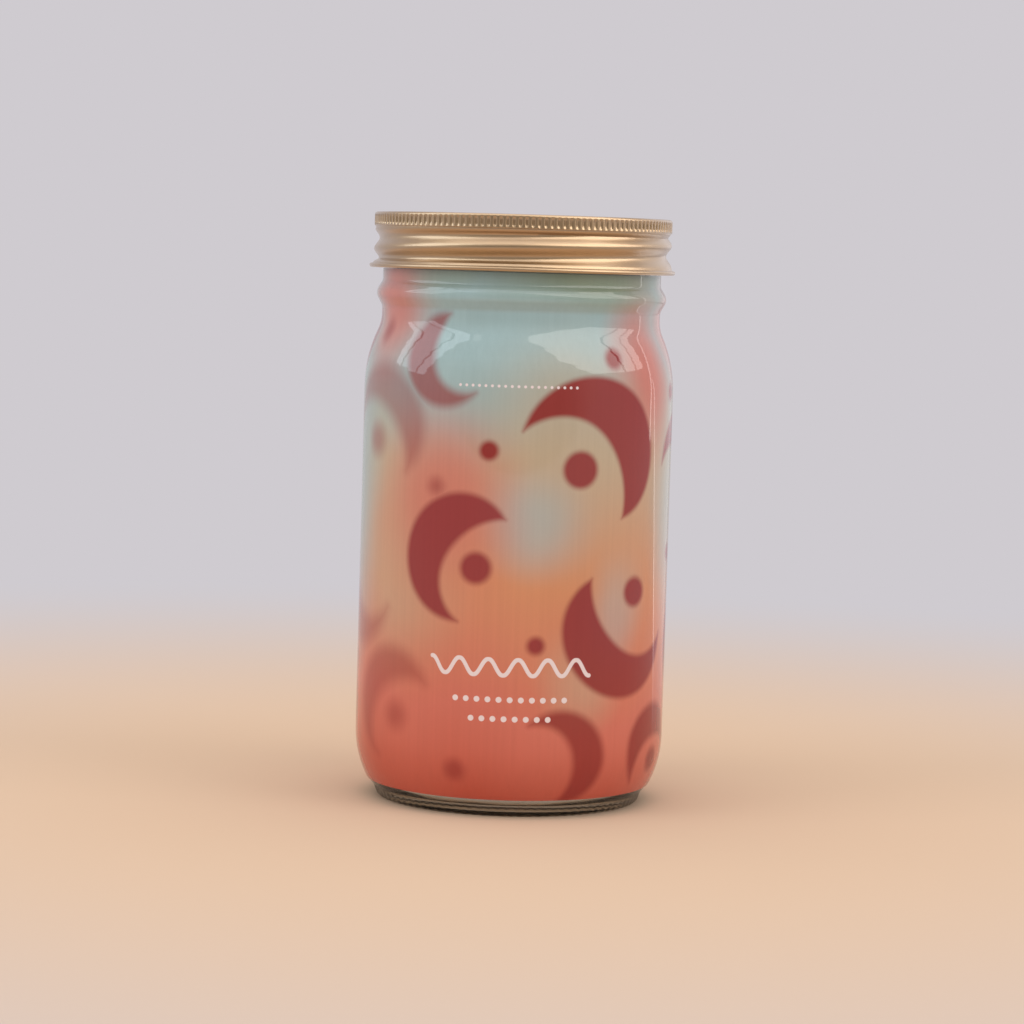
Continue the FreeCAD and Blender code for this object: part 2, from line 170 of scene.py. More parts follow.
class PlanterGlass(bpy.types.PropertyGroup):
    wall: length("Wall", "Thickness of the glass", 2.8 * MM)
    notch_count: number("Notches", "Notches round the contact ring", 90)
    notch_depth: length("Notch depth", "How far a notch cuts into the contact edge", 0.2 * MM)
    segments: number("Segments", "Faces round the glass", 360)
    tint: colour("Tint", "Colour of the glass", 230, 232, 224)
    # Brown of the foot's outer ring: partly the thick glass's tint, partly painted shade and warm floor
    # seen through it
    foot_tint_and_shade: colour("Foot tint", "Colour of the thick foot", 150, 124, 94)


class PlanterPrint(bpy.types.PropertyGroup):
    thickness: length("Film", "Thickness of the printed film", 0.22 * MM)
    segments: number("Segments", "Faces round the film", 240)
    sky: colour("Top colour", "Pale blue-green of the neck", 156, 180, 180)
    sand: colour("Sand", "Sand colour of the upper body", 188, 168, 140)
    # Olive painted shade and reflection of the band, laid on the film just under its edge
    band_shade_olive: colour("Olive", "Olive tone under the band", 138, 148, 118)
    orange: colour("Orange", "Orange of the middle", 208, 138, 94)
    coral: colour("Coral", "Coral of the lower body and of the haze", 204, 108, 90)
    clay: colour("Clay", "Terracotta of the heel", 182, 68, 48)
    motif: colour("Motif", "Dark red of the soft shapes", 142, 34, 32)
    ink: colour("White ink", "Crisp white marks", 232, 214, 212)


class PlanterBand(bpy.types.PropertyGroup):
    flute_count: number("Flutes", "Flutes of the knurled edge", 150)
    flute_depth: length("Flute depth", "Depth of a flute", 0.40 * MM)
    flute_samples: number("Flute faces", "Faces across one flute", 8)
    gold: colour("Gold", "Lacquered gold of band and disc", 184, 148, 99)
    seal: colour("Seal", "Sealing compound", 214, 208, 196)


class PlanterKit(bpy.types.PropertyGroup):
    fibre_count: number("Fibres", "Loose fibres on the growing medium", 900)
    steel: colour("Steel", "Stainless steel of the pot", 196, 196, 194)
    felt: colour("Felt", "Felt of the wick", 226, 220, 206)
    coir: colour("Coir", "Coconut fibre", 112, 76, 48)
    paper: colour("Filter paper", "Paper of the carbon sachet", 222, 216, 200)
    foil: colour("Film", "Film of the food sachet", 196, 208, 184)
    kraft: colour("Kraft", "Seed packet", 204, 172, 128)
    field: colour("Field", "Printed field of the seed packet", 132, 150, 118)
    dots: colour("Dots", "Row of dots on the seed packet", 118, 74, 52)
    card: colour("Card", "Growing card", 238, 232, 220)
    rules: colour("Rules", "Rows of notes on the card", 120, 116, 110)


class PlanterStage(bpy.types.PropertyGroup):
    distance: length("Distance", "Camera distance from the jar's axis", 0.967)
    height: length("Height", "Camera height over the table", 0.1637)
    side: length("Side step", "Camera place to the right of the axis", -0.93 * MM)
    pitch: angle("Pitch", "How far the camera looks down", 4.6)
    roll: angle("Roll", "Roll of the camera", 1.7)
    lens: FloatProperty(name="Lens", description="Focal length in millimetres on a 36 mm sensor",
                        default=113.2)
    backdrop: colour("Backdrop", "Pale background", 207, 203, 208)
    floor: colour("Floor", "Pale warm floor", 213, 183, 157)


class Link:
    """Output of a node; arithmetic on it adds Math nodes to its tree."""

    def __init__(self, graph, socket):
        self.graph = graph
        self.socket = socket

    def of(self, name):
        """Another output of the same node."""
        return Link(self.graph, self.socket.node.outputs[name])

    def __add__(self, other):
        return self.graph.math("ADD", self, other)

    def __sub__(self, other):
        return self.graph.math("SUBTRACT", self, other)

    def __rsub__(self, other):
        return self.graph.math("SUBTRACT", other, self)

    def __mul__(self, other):
        return self.graph.math("MULTIPLY", self, other)

    def __truediv__(self, other):
        return self.graph.math("DIVIDE", self, other)

    __radd__ = __add__
    __rmul__ = __mul__


class Graph:
    """Node tree of a material, the world or a Geometry Nodes modifier."""

    def __init__(self, tree):
        self.tree = tree
        tree.nodes.clear()

    def feed(self, socket, value):
        """Link a socket to an output, or set its value."""
        if isinstance(value, Link):
            self.tree.links.new(value.socket, socket)
        else:
            socket.default_value = value

    def node(self, kind, sockets=None, output=0, stops=(), **settings):
        """Add a node: its settings or a ramp's stops first, then the values or links of its sockets.

        Gives a link to one of its outputs, or the node itself where it has none.
        """
        node = self.tree.nodes.new(kind)
        for name, value in settings.items():
            setattr(node, name, value)
        for place, _ in stops[1:-1]:
            node.color_ramp.elements.new(place)
        for index, (_, shade) in enumerate(stops):
            node.color_ramp.elements[index].color = shade
        for key, value in (sockets or {}).items():
            self.feed(node.inputs[key], value)
        return Link(self, node.outputs[output]) if node.outputs else node

    def math(self, operation, *values):
        return self.node("ShaderNodeMath", dict(enumerate(values)), operation=operation)

    def highest(self, values):
        return reduce(lambda one, other: self.math("MAXIMUM", one, other), values)

    def away(self, x, y):
        """Distance from the origin."""
        return self.math("SQRT", x * x + y * y)

    def held(self, value, limit):
        """The value, kept between a limit and its negative."""
        return self.math("MAXIMUM", self.math("MINIMUM", value, limit), -limit)

    def within(self, value, limit):
        """1 where the value lies between a limit and its negative."""
        return self.math("LESS_THAN", self.math("ABSOLUTE", value), limit)

    def repeated(self, value, pitch):
        """The value, wrapped to half a pitch on each side of zero."""
        return self.math("WRAP", value, pitch / 2, -pitch / 2)

    def rise(self, value, start, end, low_value=0.0, high_value=1.0):
        """Smooth step from one value to another as the input goes from start to end."""
        sockets = {"Value": value, "From Min": start, "From Max": end,
                   "To Min": low_value, "To Max": high_value}
        return self.node("ShaderNodeMapRange", sockets, interpolation_type="SMOOTHSTEP")

    def between(self, value, start, end, fade):
        """1 from start to end, with a soft edge inside each."""
        return self.rise(value, start, start + fade) * self.rise(value, end, end - fade)

    def mix(self, factor, first, second, blend="MIX"):
        sockets = {0: factor, 6: first, 7: second}
        return self.node("ShaderNodeMix", sockets, 2, data_type="RGBA", blend_type=blend)

    def blend(self, factor, first, second):
        """One shader over another."""
        return self.node("ShaderNodeMixShader", {0: factor, 1: first, 2: second})

    def split(self, vector):
        x = self.node("ShaderNodeSeparateXYZ", {0: vector})
        return x, x.of("Y"), x.of("Z")

    def joined(self, x, y, z):
        return self.node("ShaderNodeCombineXYZ", {0: x, 1: y, 2: z})


class Finish(Graph):
    """Material; constants are sockets of its Principled shader, which is there only if any is given."""

    def __init__(self, name, **constants):
        self.name = name
        self.material = bpy.data.materials.new(name)
        self.material.use_nodes = True
        super().__init__(self.material.node_tree)
        self.vector = self.node("ShaderNodeTexCoord", output="Object")
        self.surface = self.node("ShaderNodeOutputMaterial").inputs["Surface"]
        if constants:
            self.shader = self.node("ShaderNodeBsdfPrincipled")
            self.feed(self.surface, self.shader)
        for socket, value in constants.items():
            self.set(socket.replace("_", " "), value)

    def set(self, socket, value):
        self.feed(self.shader.socket.node.inputs[socket], value)

    def bump(self, height, strength, distance):
        sockets = {"Height": height, "Strength": strength, "Distance": distance}
        self.set("Normal", self.node("ShaderNodeBump", sockets))

    def place(self):
        """Object coordinates in millimetres."""
        return [part / MM for part in self.split(self.vector)]

    def cloud(self, scale, detail=2.0, roughness=0.5, stretch=None):
        """Noise from 0 to 1 at a scale in cells per metre."""
        vector = self.vector
        if stretch:
            vector = self.node("ShaderNodeMapping", {"Vector": vector, "Scale": stretch})
        sockets = {"Vector": vector, "Scale": scale, "Detail": detail, "Roughness": roughness}
        return self.node("ShaderNodeTexNoise", sockets)

    def mottled(self, amount, shade, share):
        """A shade that goes over to its darker form by an amount."""
        return self.mix(amount, shade, toned(shade, share))


def toned(shade, share):
    """Darker or lighter form of a colour."""
    return [min(1.0, part * share) for part in shade[:3]] + [1.0]


def unit(start, end):
    """Direction from one corner of an outline to the next, and the distance."""
    run = end[0] - start[0]
    rise = end[1] - start[1]
    size = math.hypot(run, rise)
    return run / size, rise / size, size


def tangent(corners, index):
    """How far a rounded corner reaches along its two sides."""
    if index in (0, len(corners) - 1):
        return 0.0
    ahead = unit(corners[index - 1], corners[index])
    beyond = unit(corners[index], corners[index + 1])
    turn = math.acos(max(-1.0, min(1.0, ahead[0] * beyond[0] + ahead[1] * beyond[1])))
    return corners[index][2] * math.tan(turn / 2)


def fitted(corners):
    """The same corners, with each round limited to what its two sides can hold."""
    reach = [tangent(corners, index) for index in range(len(corners))]
    shares = [min(1.0, unit(start, end)[2] / max(reach[side] + reach[side + 1], ON_AXIS))
              for side, (start, end) in enumerate(zip(corners, corners[1:]))]
    middle = [(radius, height, rounding * min(before, after))
              for (radius, height, rounding), before, after in zip(corners[1:], shares, shares[1:])]
    return [corners[0], *middle, corners[-1]]


def rounded(corners, step=ARC_STEP):
    """Points along an outline, with a tangent arc at each corner that has a round."""
    corners = fitted(corners)
    points = [corners[0][:2]]
    for index in range(1, len(corners) - 1):
        radius, height, rounding = corners[index]
        if rounding == 0:
            points.append((radius, height))
            continue
        ahead = unit(corners[index - 1], corners[index])
        beyond = unit(corners[index], corners[index + 1])
        reach = tangent(corners, index)
        side = 1 if ahead[0] * beyond[1] - ahead[1] * beyond[0] > 0 else -1
        start = (radius - ahead[0] * reach, height - ahead[1] * reach)
        centre = (start[0] - side * ahead[1] * rounding, start[1] + side * ahead[0] * rounding)
        turn = 2 * math.atan2(reach, rounding)
        count = max(2, math.ceil(turn / step))
        first = math.atan2(start[1] - centre[1], start[0] - centre[0])
        stops = [first + side * turn * part / count for part in range(count + 1)]
        points += [(centre[0] + rounding * math.cos(stop), centre[1] + rounding * math.sin(stop))
                   for stop in stops]
    return points + [corners[-1][:2]]


def grown(corners, skin):
    """The outline moved by skin to the right of its travel, as a wall's other face is."""
    sides = [unit(start, end) for start, end in zip(corners, corners[1:])]
    normals = [(rise, -run) for run, rise, _ in sides]
    result = []
    for (radius, height, rounding), before, after in zip(corners, normals[:1] + normals,
                                                         normals + normals[-1:]):
        spread = 1 + before[0] * after[0] + before[1] * after[1]
        radius += skin * (before[0] + after[0]) / spread
        height += skin * (before[1] + after[1]) / spread
        if rounding:
            left_turn = before[0] * after[1] - before[1] * after[0] > 0
            rounding = max(rounding + (skin if left_turn else -skin), 0)
        result.append((radius, height, rounding))
    return result


def divided(points, spacing, bottom=-math.inf, top=math.inf):
    """The same points, with more of them on the stretches between two heights."""
    result = [points[0]]
    for start, end in zip(points, points[1:]):
        inside = bottom <= (start[1] + end[1]) / 2 <= top
        count = max(1, math.ceil(math.dist(start, end) / spacing)) if inside else 1
        shares = [part / count for part in range(1, count + 1)]
        result += [(start[0] + (end[0] - start[0]) * share, start[1] + (end[1] - start[1]) * share)
                   for share in shares]
    return result


def without_doubles(points):
    result = [points[0]]
    for point in points[1:]:
        if math.dist(point, result[-1]) > ON_AXIS:
            result.append(point)
    return result


def linked(name, content):
    """New object in the scene's own collection."""
    piece = bpy.data.objects.new(name, content)
    bpy.context.scene.collection.objects.link(piece)
    return piece


def smooth(mesh, sharp=SHARP_ANGLE):
    mesh.shade_smooth()
    mesh.set_sharp_from_angle(angle=sharp)


def merged(mesh, distance, outward):
    """Merge doubled points; outward also turns the faces of a closed mesh outwards."""
    bm = bmesh.new()
    bm.from_mesh(mesh)
    bmesh.ops.remove_doubles(bm, verts=bm.verts, dist=distance)
    if outward:
        bmesh.ops.recalc_face_normals(bm, faces=bm.faces)
    bm.to_mesh(mesh)
    bm.free()


def solid(name, verts, faces, sharp=SHARP_ANGLE):
    """New closed piece from points and faces."""
    mesh = bpy.data.meshes.new(name)
    mesh.from_pydata(verts, [], faces)
    merged(mesh, DOUBLED, True)
    smooth(mesh, sharp)
    return linked(name, mesh)


def tube_faces(rows, count):
    """Faces between rows of points that each go once round."""
    return [(row * count + step, row * count + (step + 1) % count,
             (row + 1) * count + (step + 1) % count, (row + 1) * count + step)
            for row in range(rows - 1) for step in range(count)]


def lathe(name, points, segments, closed=False):
    """Turn an outline about the axis; its ends lie on the axis, or closed joins them by a face."""
    verts = []
    rows = []
    for radius, height in without_doubles(points):
        count = 1 if radius < ON_AXIS else segments
        rows.append([len(verts) + step for step in range(count)])
        turns = [FULL_TURN * step / segments for step in range(count)]
        verts += [(radius * math.sin(turn), -radius * math.cos(turn), height) for turn in turns]
    faces = []
    for lower, upper in zip(rows, rows[1:] + rows[:1] if closed else rows[1:]):
        for step in range(segments):
            after = (step + 1) % segments
            corners = [lower[step % len(lower)], lower[after % len(lower)],
                       upper[after % len(upper)], upper[step % len(upper)]]
            corners = list(dict.fromkeys(corners))
            if len(corners) > 2:
                faces.append(corners)
    return solid(name, verts, faces)


def applied(piece, modifier):
    """Keep what a modifier makes of a piece as its plain mesh."""
    evaluated = piece.evaluated_get(bpy.context.evaluated_depsgraph_get())
    mesh = bpy.data.meshes.new_from_object(evaluated)
    piece.modifiers.remove(modifier)
    old = piece.data
    piece.data = mesh
    bpy.data.meshes.remove(old)


def through_nodes(piece, name, inputs, build, finish, sharp=SHARP_ANGLE):
    """Run a Geometry Nodes tree on a piece and keep the result."""
    tree = bpy.data.node_groups.new(name, "GeometryNodeTree")
    tree.interface.new_socket("Geometry", in_out="INPUT", socket_type="NodeSocketGeometry")
    kinds = {int: "NodeSocketInt", float: "NodeSocketFloat"}
    sockets = {label: tree.interface.new_socket(label, in_out="INPUT", socket_type=kinds[type(value)])
               for label, value in inputs.items()}
    tree.interface.new_socket("Geometry", in_out="OUTPUT", socket_type="NodeSocketGeometry")
    graph = Graph(tree)
    made = build(graph, graph.node("NodeGroupInput"))
    real = graph.node("GeometryNodeRealizeInstances", {0: made})
    dressed = graph.node("GeometryNodeSetMaterial", {"Geometry": real, "Material": finish.material})
    graph.node("NodeGroupOutput", {0: dressed})
    modifier = piece.modifiers.new(name, "NODES")
    modifier.node_group = tree
    for label, value in inputs.items():
        modifier[sockets[label].identifier] = value
    applied(piece, modifier)
    smooth(piece.data, sharp)


def polar(graph):
    """Position in a Geometry Nodes tree: angle from the front, distance from the axis, height."""
    x, y, z = graph.split(graph.node("GeometryNodeInputPosition"))
    return graph.math("ARCTAN2", x, 0 - y), graph.away(x, y), z


def moved_out(graph, geometry, turn, distance, rise=0.0):
    """Move points away from the axis by a distance, and up by a rise."""
    offset = graph.joined(graph.math("SINE", turn) * distance,
                          graph.math("COSINE", turn) * distance * -1.0, rise)
    return graph.node("GeometryNodeSetPosition", {"Geometry": geometry, "Offset": offset})


def keep(piece, body, finish, *nodes):
    """Dress a finished piece and ride it on its body, in place of the plain solids."""
    if not piece.data.materials:
        piece.data.materials.append(finish.material)
    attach(piece, body)
    if nodes:
        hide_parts(*nodes)


# Glass

def glass_outside():
    """Corners of the glass from the seam above the foot up to the rim."""
    return [
        (BODY_RADIUS - SEAM_INSET, SEAM_HEIGHT, 0),
        (BODY_RADIUS - HEEL_INSET, HEEL_LOW_HEIGHT, HEEL_LOW_ROUND),
        (BODY_RADIUS, HEEL_HEIGHT, HEEL_ROUND),
        (BODY_RADIUS, RIM_HEIGHT - SHOULDER_DROP, SHOULDER_ROUND),
        (NECK_RADIUS, RIM_HEIGHT - NECK_DROP, NECK_ROUND),
        (NECK_RADIUS, RIM_HEIGHT - BEAD_LOW_DROP, BEAD_ROUND),
        (NECK_RADIUS + BEAD_PROJECTION, RIM_HEIGHT - BEAD_DROP, BEAD_ROUND),
        (NECK_RADIUS, RIM_HEIGHT - BEAD_TOP_DROP, BEAD_TOP_ROUND),
        (NECK_RADIUS, RIM_HEIGHT, RIM_OUTER_ROUND),
    ]


def glass_foot():
    """Corners of the underside, from the axis out to the seam."""
    inner = FOOT_RADIUS - FOOT_WIDTH
    return [
        (0, PUNT_HEIGHT, 0),
        (inner - PUNT_RUN, PUNT_HEIGHT, PUNT_ROUND),
        (inner, 0, FOOT_ROUND),
        (FOOT_RADIUS, 0, FOOT_ROUND),
        (BODY_RADIUS - SEAM_INSET - SEAM_STEP, SEAM_HEIGHT - SEAM_DROP, 0),
    ]


def glass_inside(wall):
    """Corners of the inner wall, from the rim down to the floor."""
    low_heel, heel, shoulder, neck = grown(glass_outside()[1:5], -wall)
    slope = (heel[0] - low_heel[0]) / (heel[1] - low_heel[1])
    floor_radius = heel[0] - slope * (heel[1] - FLOOR_HEIGHT)
    bore = NECK_RADIUS - wall
    return [
        (bore, RIM_HEIGHT, RIM_INNER_ROUND),
        (bore, neck[1], NECK_ROUND + wall),
        (shoulder[0], shoulder[1], SHOULDER_ROUND - wall),
        (heel[0], heel[1], HEEL_ROUND - wall),
        (floor_radius, FLOOR_HEIGHT, FLOOR_ROUND),
        (0, FLOOR_HEIGHT + FLOOR_CROWN, 0),
    ]


def glass_finish(settings):
    """Clear soda glass, a little wavy as pressed jars are, and darker and browner at the foot's outer ring:
    partly the thick glass's tint, partly painted shade and warm floor seen through it.
    """
    finish = Finish("clear_glass", IOR=1.5, Transmission_Weight=1.0)
    x, y, z = finish.place()
    # Mask of the foot's outer ring, where thick glass and brown painted shade go together
    thick = finish.rise(z, 7.0, 3.0) * finish.rise(finish.away(x, y), 29.0, 35.0)
    finish.set("Base Color", finish.mix(thick, settings.tint, settings.foot_tint_and_shade))
    finish.set("Roughness", thick * 0.10 + 0.03)
    finish.bump(finish.cloud(60, 1.0), 0.25, 0.4 * MM)
    return finish


def notched_and_threaded(graph, given):
    """Contact notches round the foot, and the screw thread below the rim."""
    turn, radius, height = polar(graph)
    wave = graph.math("COSINE", turn * given.of("Notches")) * 0.5 + 0.5
    at_foot = graph.rise(height, NOTCH_TOP, NOTCH_FULL) * graph.rise(radius, NOTCH_INNER, NOTCH_OUTER)
    notch = wave * at_foot * given.of("Notch depth")
    centre = turn / FULL_TURN * THREAD_LEAD + (RIM_HEIGHT - RIDGE_DROP - THREAD_SEAT)
    off = graph.repeated(height - centre, THREAD_LEAD)
    ridge = graph.rise(graph.math("ABSOLUTE", off), THREAD_HALF_WIDTH, THREAD_HALF_WIDTH * THREAD_CREST)
    along = graph.between(height - off, RIM_HEIGHT - THREAD_START_DROP, RIM_HEIGHT - THREAD_END_DROP,
                          THREAD_FADE)
    outside = graph.rise(radius, NECK_RADIUS - 1.6 * MM, NECK_RADIUS - 1.2 * MM)
    thread = ridge * along * outside * given.of("Thread")
    return moved_out(graph, given, turn, thread - notch, notch * NOTCH_LIFT)


def make_glass(settings):
    outline = glass_foot() + glass_outside() + glass_inside(settings.wall)
    points = divided(rounded(outline), 0.5 * MM, RIM_HEIGHT - THREAD_ROWS_LOW_DROP,
                     RIM_HEIGHT - THREAD_ROWS_TOP_DROP)
    glass = lathe("jar_glass", points, settings.segments)
    finish = glass_finish(settings)
    inputs = {"Notches": settings.notch_count, "Notch depth": settings.notch_depth,
              "Thread": THREAD_PROJECTION}
    through_nodes(glass, "notched_and_threaded", inputs, notched_and_threaded, finish)
    glass.visible_shadow = False
    keep(glass, "jar", finish, "glass_jar")


# Printed film

FILM_SKIN = 0.25 * MM


def sleeve_points(thickness):
    """Outline of the film: its outer face up from the heel, and its inner face back down."""
    bottom, top = (corner.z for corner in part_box("printed_sleeve"))
    faces = []
    for skin in (FILM_SKIN, FILM_SKIN - thickness):
        points = divided(rounded(grown(glass_outside(), skin), math.radians(4)), 1.0 * MM)
        faces.append([point for point in points if bottom <= point[1] <= top])
    return faces[0] + faces[1][::-1]


# Soft motifs of the print, crescents that hold a disc: across from the front's middle, height, turn
# in degrees, radius and half width of the crescent, disc radius, softness, all in millimetres, and
# strength
MOTIFS = (
    (19, 102, -38, 20.5, 8.2, 5.4, 1.2, 1.00),
    (39, 60, 152, 18.5, 7.6, 0.0, 1.3, 1.00),
    (-11, 73, 66, 16.5, 7.0, 4.6, 1.4, 1.00),
    (12, 17, -66, 12.5, 5.2, 0.0, 1.8, 0.95),
    (54, 15, 24, 12.0, 5.0, 3.6, 1.7, 1.00),
    (-19, 134, 116, 12.5, 5.0, 0.0, 2.0, 0.80),
    (70, 96, -30, 17.0, 6.6, 0.0, 1.4, 1.00),
    (-50, 108, -22, 17.0, 6.4, 4.4, 3.4, 0.55),
    (-56, 68, 142, 16.5, 6.4, 0.0, 3.6, 0.50),
    (-37, 28, 50, 15.0, 5.8, 3.8, 3.4, 0.55),
    (-82, 26, -42, 13.5, 5.4, 0.0, 2.4, 0.80),
    (84, 50, 116, 15.0, 6.2, 4.2, 1.5, 1.00),
    (90, 137, -64, 12.5, 5.0, 0.0, 1.6, 1.00),
    (92, 13, -16, 10.5, 4.4, 0.0, 1.8, 0.95),
    (116, 84, 34, 16.0, 6.4, 4.4, 1.5, 1.00),
    (124, 40, -128, 14.5, 5.8, 4.0, 1.7, 1.00),
    (126, 128, 152, 12.5, 5.0, 0.0, 1.7, 0.95),
    (-96, 98, 44, 16.0, 6.4, 4.4, 2.0, 0.90),
    (-78, 140, -100, 11.0, 4.4, 0.0, 2.2, 0.85),
    (-112, 52, -30, 15.5, 6.2, 0.0, 1.5, 1.00),
    (-124, 130, 96, 14.0, 5.6, 3.8, 1.5, 1.00),
    (-122, 13, 160, 10.0, 4.2, 0.0, 1.8, 0.95),
)
CRESCENT_HALF_ANGLE = math.radians(96)
CRESCENT_LEAN = 0.30
# Small discs between them: across, height, radius, softness in millimetres and strength
LOOSE_DISCS = (
    (-8, 107, 2.8, 1.2, 1.0), (40, 66, 4.4, 1.3, 1.0), (7, 51, 2.6, 1.3, 1.0), (30, 134, 3.0, 1.4, 1.0),
    (-16, 14, 3.0, 2.2, 0.7), (-52, 140, 3.0, 2.6, 0.6), (-66, 42, 2.8, 3.0, 0.5), (-24, 96, 2.4, 2.4, 0.6),
    (110, 14, 2.6, 1.6, 1.0), (62, 124, 2.6, 1.5, 1.0), (-104, 22, 2.4, 1.6, 1.0),
    (-116, 80, 2.6, 1.6, 1.0), (109, 146, 2.6, 1.8, 0.9), (-134, 96, 3.0, 1.6, 1.0),
    (140, 62, 2.6, 1.6, 1.0), (64, 76, 2.6, 1.4, 1.0), (88, 74, 2.4, 1.5, 1.0), (-82, 64, 2.8, 2.6, 0.7),
)

# Soft patches of each colour: across, height, half width and half height in millimetres, strength
PATCHES = {
    "sand": (
        (16, 112, 26, 26, 0.60), (-38, 66, 20, 24, 0.50), (24, 42, 12, 12, 0.50), (90, 52, 16, 20, 0.50),
        (-108, 98, 20, 22, 0.45),
    ),
    "sky": (
        (-66, 94, 15, 44, 0.80), (-20, 124, 22, 20, 0.75), (6, 84, 15, 13, 0.60), (60, 88, 12, 26, 0.55),
        (96, 128, 18, 22, 0.60), (-92, 70, 18, 24, 0.55), (34, 60, 9, 15, 0.40),
    ),
    "coral": (
        (-50, 150, 18, 20, 0.80), (45, 130, 14, 25, 0.85), (-22, 90, 22, 26, 0.75),
        (72, 142, 16, 18, 0.80), (110, 88, 24, 26, 0.65), (-110, 132, 22, 18, 0.75),
        (-128, 84, 14, 28, 0.5),
    ),
    # The olive patches just under the band are painted shade and reflection of the band, not print
    "band_shade_olive": (
        (24, 157, 34, 8, 0.85), (-26, 158, 16, 5, 0.45), (100, 157, 30, 8, 0.7), (-110, 157, 30, 8, 0.7),
    ),
}


def soft_patches(graph, across, height, patches):
    """Strongest of a few oval clouds at a place on the unrolled film."""
    shades = []
    for middle, level, half_width, half_height, strength in patches:
        off = graph.away((across - middle) / half_width, (height - level) / half_height)
        shades.append(graph.rise(off, 1.5, 0.15, 0.0, strength))
    return graph.highest(shades)


def crescent_distance(graph, x, y, ring, half_width):
    """Distance from the edge of a crescent whose stroke swells past its middle and ends in tips."""
    radius = graph.away(x, y)
    turn = graph.math("ARCTAN2", x, y)
    nearest = graph.held(turn, CRESCENT_HALF_ANGLE)
    across = radius * graph.math("COSINE", turn - nearest) * (2 * ring)
    gap = graph.math("SQRT", radius * radius - across + ring * ring)
    share = nearest / CRESCENT_HALF_ANGLE
    swell = (1.0 - share * share) * (1.0 + share * CRESCENT_LEAN)
    return radius, gap - swell * half_width


def soft_motifs(graph, across, height):
    """Soft crescents and discs, placed on the unrolled film."""
    unrolled = graph.joined(across, height, 0.0)
    masks = []
    for middle, level, turn, ring, half_width, disc, softness, strength in MOTIFS:
        sockets = {"Vector": unrolled, "Location": (middle, level, 0),
                   "Rotation": Euler((0, 0, math.radians(turn)))}
        x, y, _ = graph.split(graph.node("ShaderNodeMapping", sockets, vector_type="TEXTURE"))
        radius, gap = crescent_distance(graph, x, y, ring, half_width)
        if disc:
            gap = graph.math("MINIMUM", gap, radius - disc)
        masks.append(graph.rise(gap, softness, -softness, 0.0, strength))
    for middle, level, disc, softness, strength in LOOSE_DISCS:
        gap = graph.away(across - middle, height - level) - disc
        masks.append(graph.rise(gap, softness, -softness, 0.0, strength))
    return graph.highest(masks)


# White marks: rows of dots as height, number, pitch and dot radius in millimetres, and one wave line
DOT_ROWS = ((125.6, 19, 1.9, 0.42), (35.2, 11, 3.2, 0.85), (29.6, 8, 3.2, 0.85))
WAVE_LEVEL = 44.6
WAVE_HEIGHT = 2.3
WAVE_PITCH = 8.6
WAVE_QUARTERS = 11
WAVE_LINE = 0.6
INK_EDGE = 0.10


def white_marks(graph, across, height):
    """Rows of dots and one wave line in white ink."""
    masks = []
    for level, count, pitch, radius in DOT_ROWS:
        shift = 0.0 if count % 2 else pitch / 2
        off = graph.away(graph.repeated(across + shift, pitch), height - level)
        dot = graph.rise(off, radius + INK_EDGE, radius - INK_EDGE)
        masks.append(dot * graph.within(across, count * pitch / 2))
    nearest = graph.held(across, WAVE_QUARTERS * WAVE_PITCH / 4)
    turn = nearest * (FULL_TURN / WAVE_PITCH)
    crest = graph.math("SINE", turn) * WAVE_HEIGHT
    slope = graph.math("COSINE", turn) * (WAVE_HEIGHT * FULL_TURN / WAVE_PITCH)
    gap = (height - WAVE_LEVEL - crest) / graph.math("SQRT", slope * slope + 1.0)
    off = graph.away(gap, across - nearest)
    masks.append(graph.rise(off, WAVE_LINE + INK_EDGE, WAVE_LINE - INK_EDGE))
    return graph.highest(masks)


# Height over which the print's colours run, and how far noise moves them, all in millimetres
PRINT_HEIGHT = 158.0
DRIFT_RUN = 34
SWAY_RUN = 12
PATCH_RUN = 16


def film_finish(settings):
    """Glossy film: airbrushed clouds of colour, soft dark motifs and crisp white marks, with olive painted
    shade of the band just under it.
    """
    finish = Finish("printed_film", Roughness=0.5, Specular_IOR_Level=0.0, Coat_Weight=1.0,
                    Coat_Roughness=0.025, Coat_IOR=1.55)
    x, y, z = finish.place()
    across = finish.math("ARCTAN2", x, 0 - y) * (BODY_RADIUS / MM)
    drift = finish.cloud(14, 1.5) - 0.5
    sway = finish.cloud(26, 2.0, stretch=(1, 1, 0.6)) - 0.5
    stops = [(0.0, settings.clay), (0.20, settings.coral), (0.42, settings.orange),
             (0.66, settings.sand), (0.86, settings.sky), (1.0, settings.sky)]
    level = z + drift * DRIFT_RUN + sway * SWAY_RUN
    base = finish.node("ShaderNodeValToRGB", {0: level / PRINT_HEIGHT}, stops=stops)
    # Each tone's patches go over the base; the olive ones are painted shade of the band, the others are
    # print
    for tone, patches in PATCHES.items():
        amount = soft_patches(finish, across + sway * PATCH_RUN, z + drift * PATCH_RUN, patches)
        base = finish.mix(amount, base, getattr(settings, tone))
    base = finish.mix(soft_motifs(finish, across, z) * 0.95, base, settings.motif)
    streak = finish.cloud(700, 3.0, 0.6, (1, 1, 0.015))
    grain = finish.cloud(2600, 2.0, 0.6)
    tone = 1.0 + (streak - 0.5) * 0.13 + (grain - 0.5) * 0.05
    grey = finish.node("ShaderNodeCombineColor", {0: tone, 1: tone, 2: tone})
    base = finish.mix(1.0, base, grey, "MULTIPLY")
    ink = white_marks(finish, across, z)
    finish.set("Base Color", finish.mix(ink, base, settings.ink))
    ripple = finish.cloud(75, 1.0, stretch=(1, 1, 0.45))
    finish.bump(ripple * 0.6 + ink * 0.04 + streak * 0.01, 0.35, 0.5 * MM)
    return finish


def make_sleeve(settings):
    sleeve = lathe("printed_film", sleeve_points(settings.thickness), settings.segments, closed=True)
    keep(sleeve, "jar", film_finish(settings), "printed_sleeve")


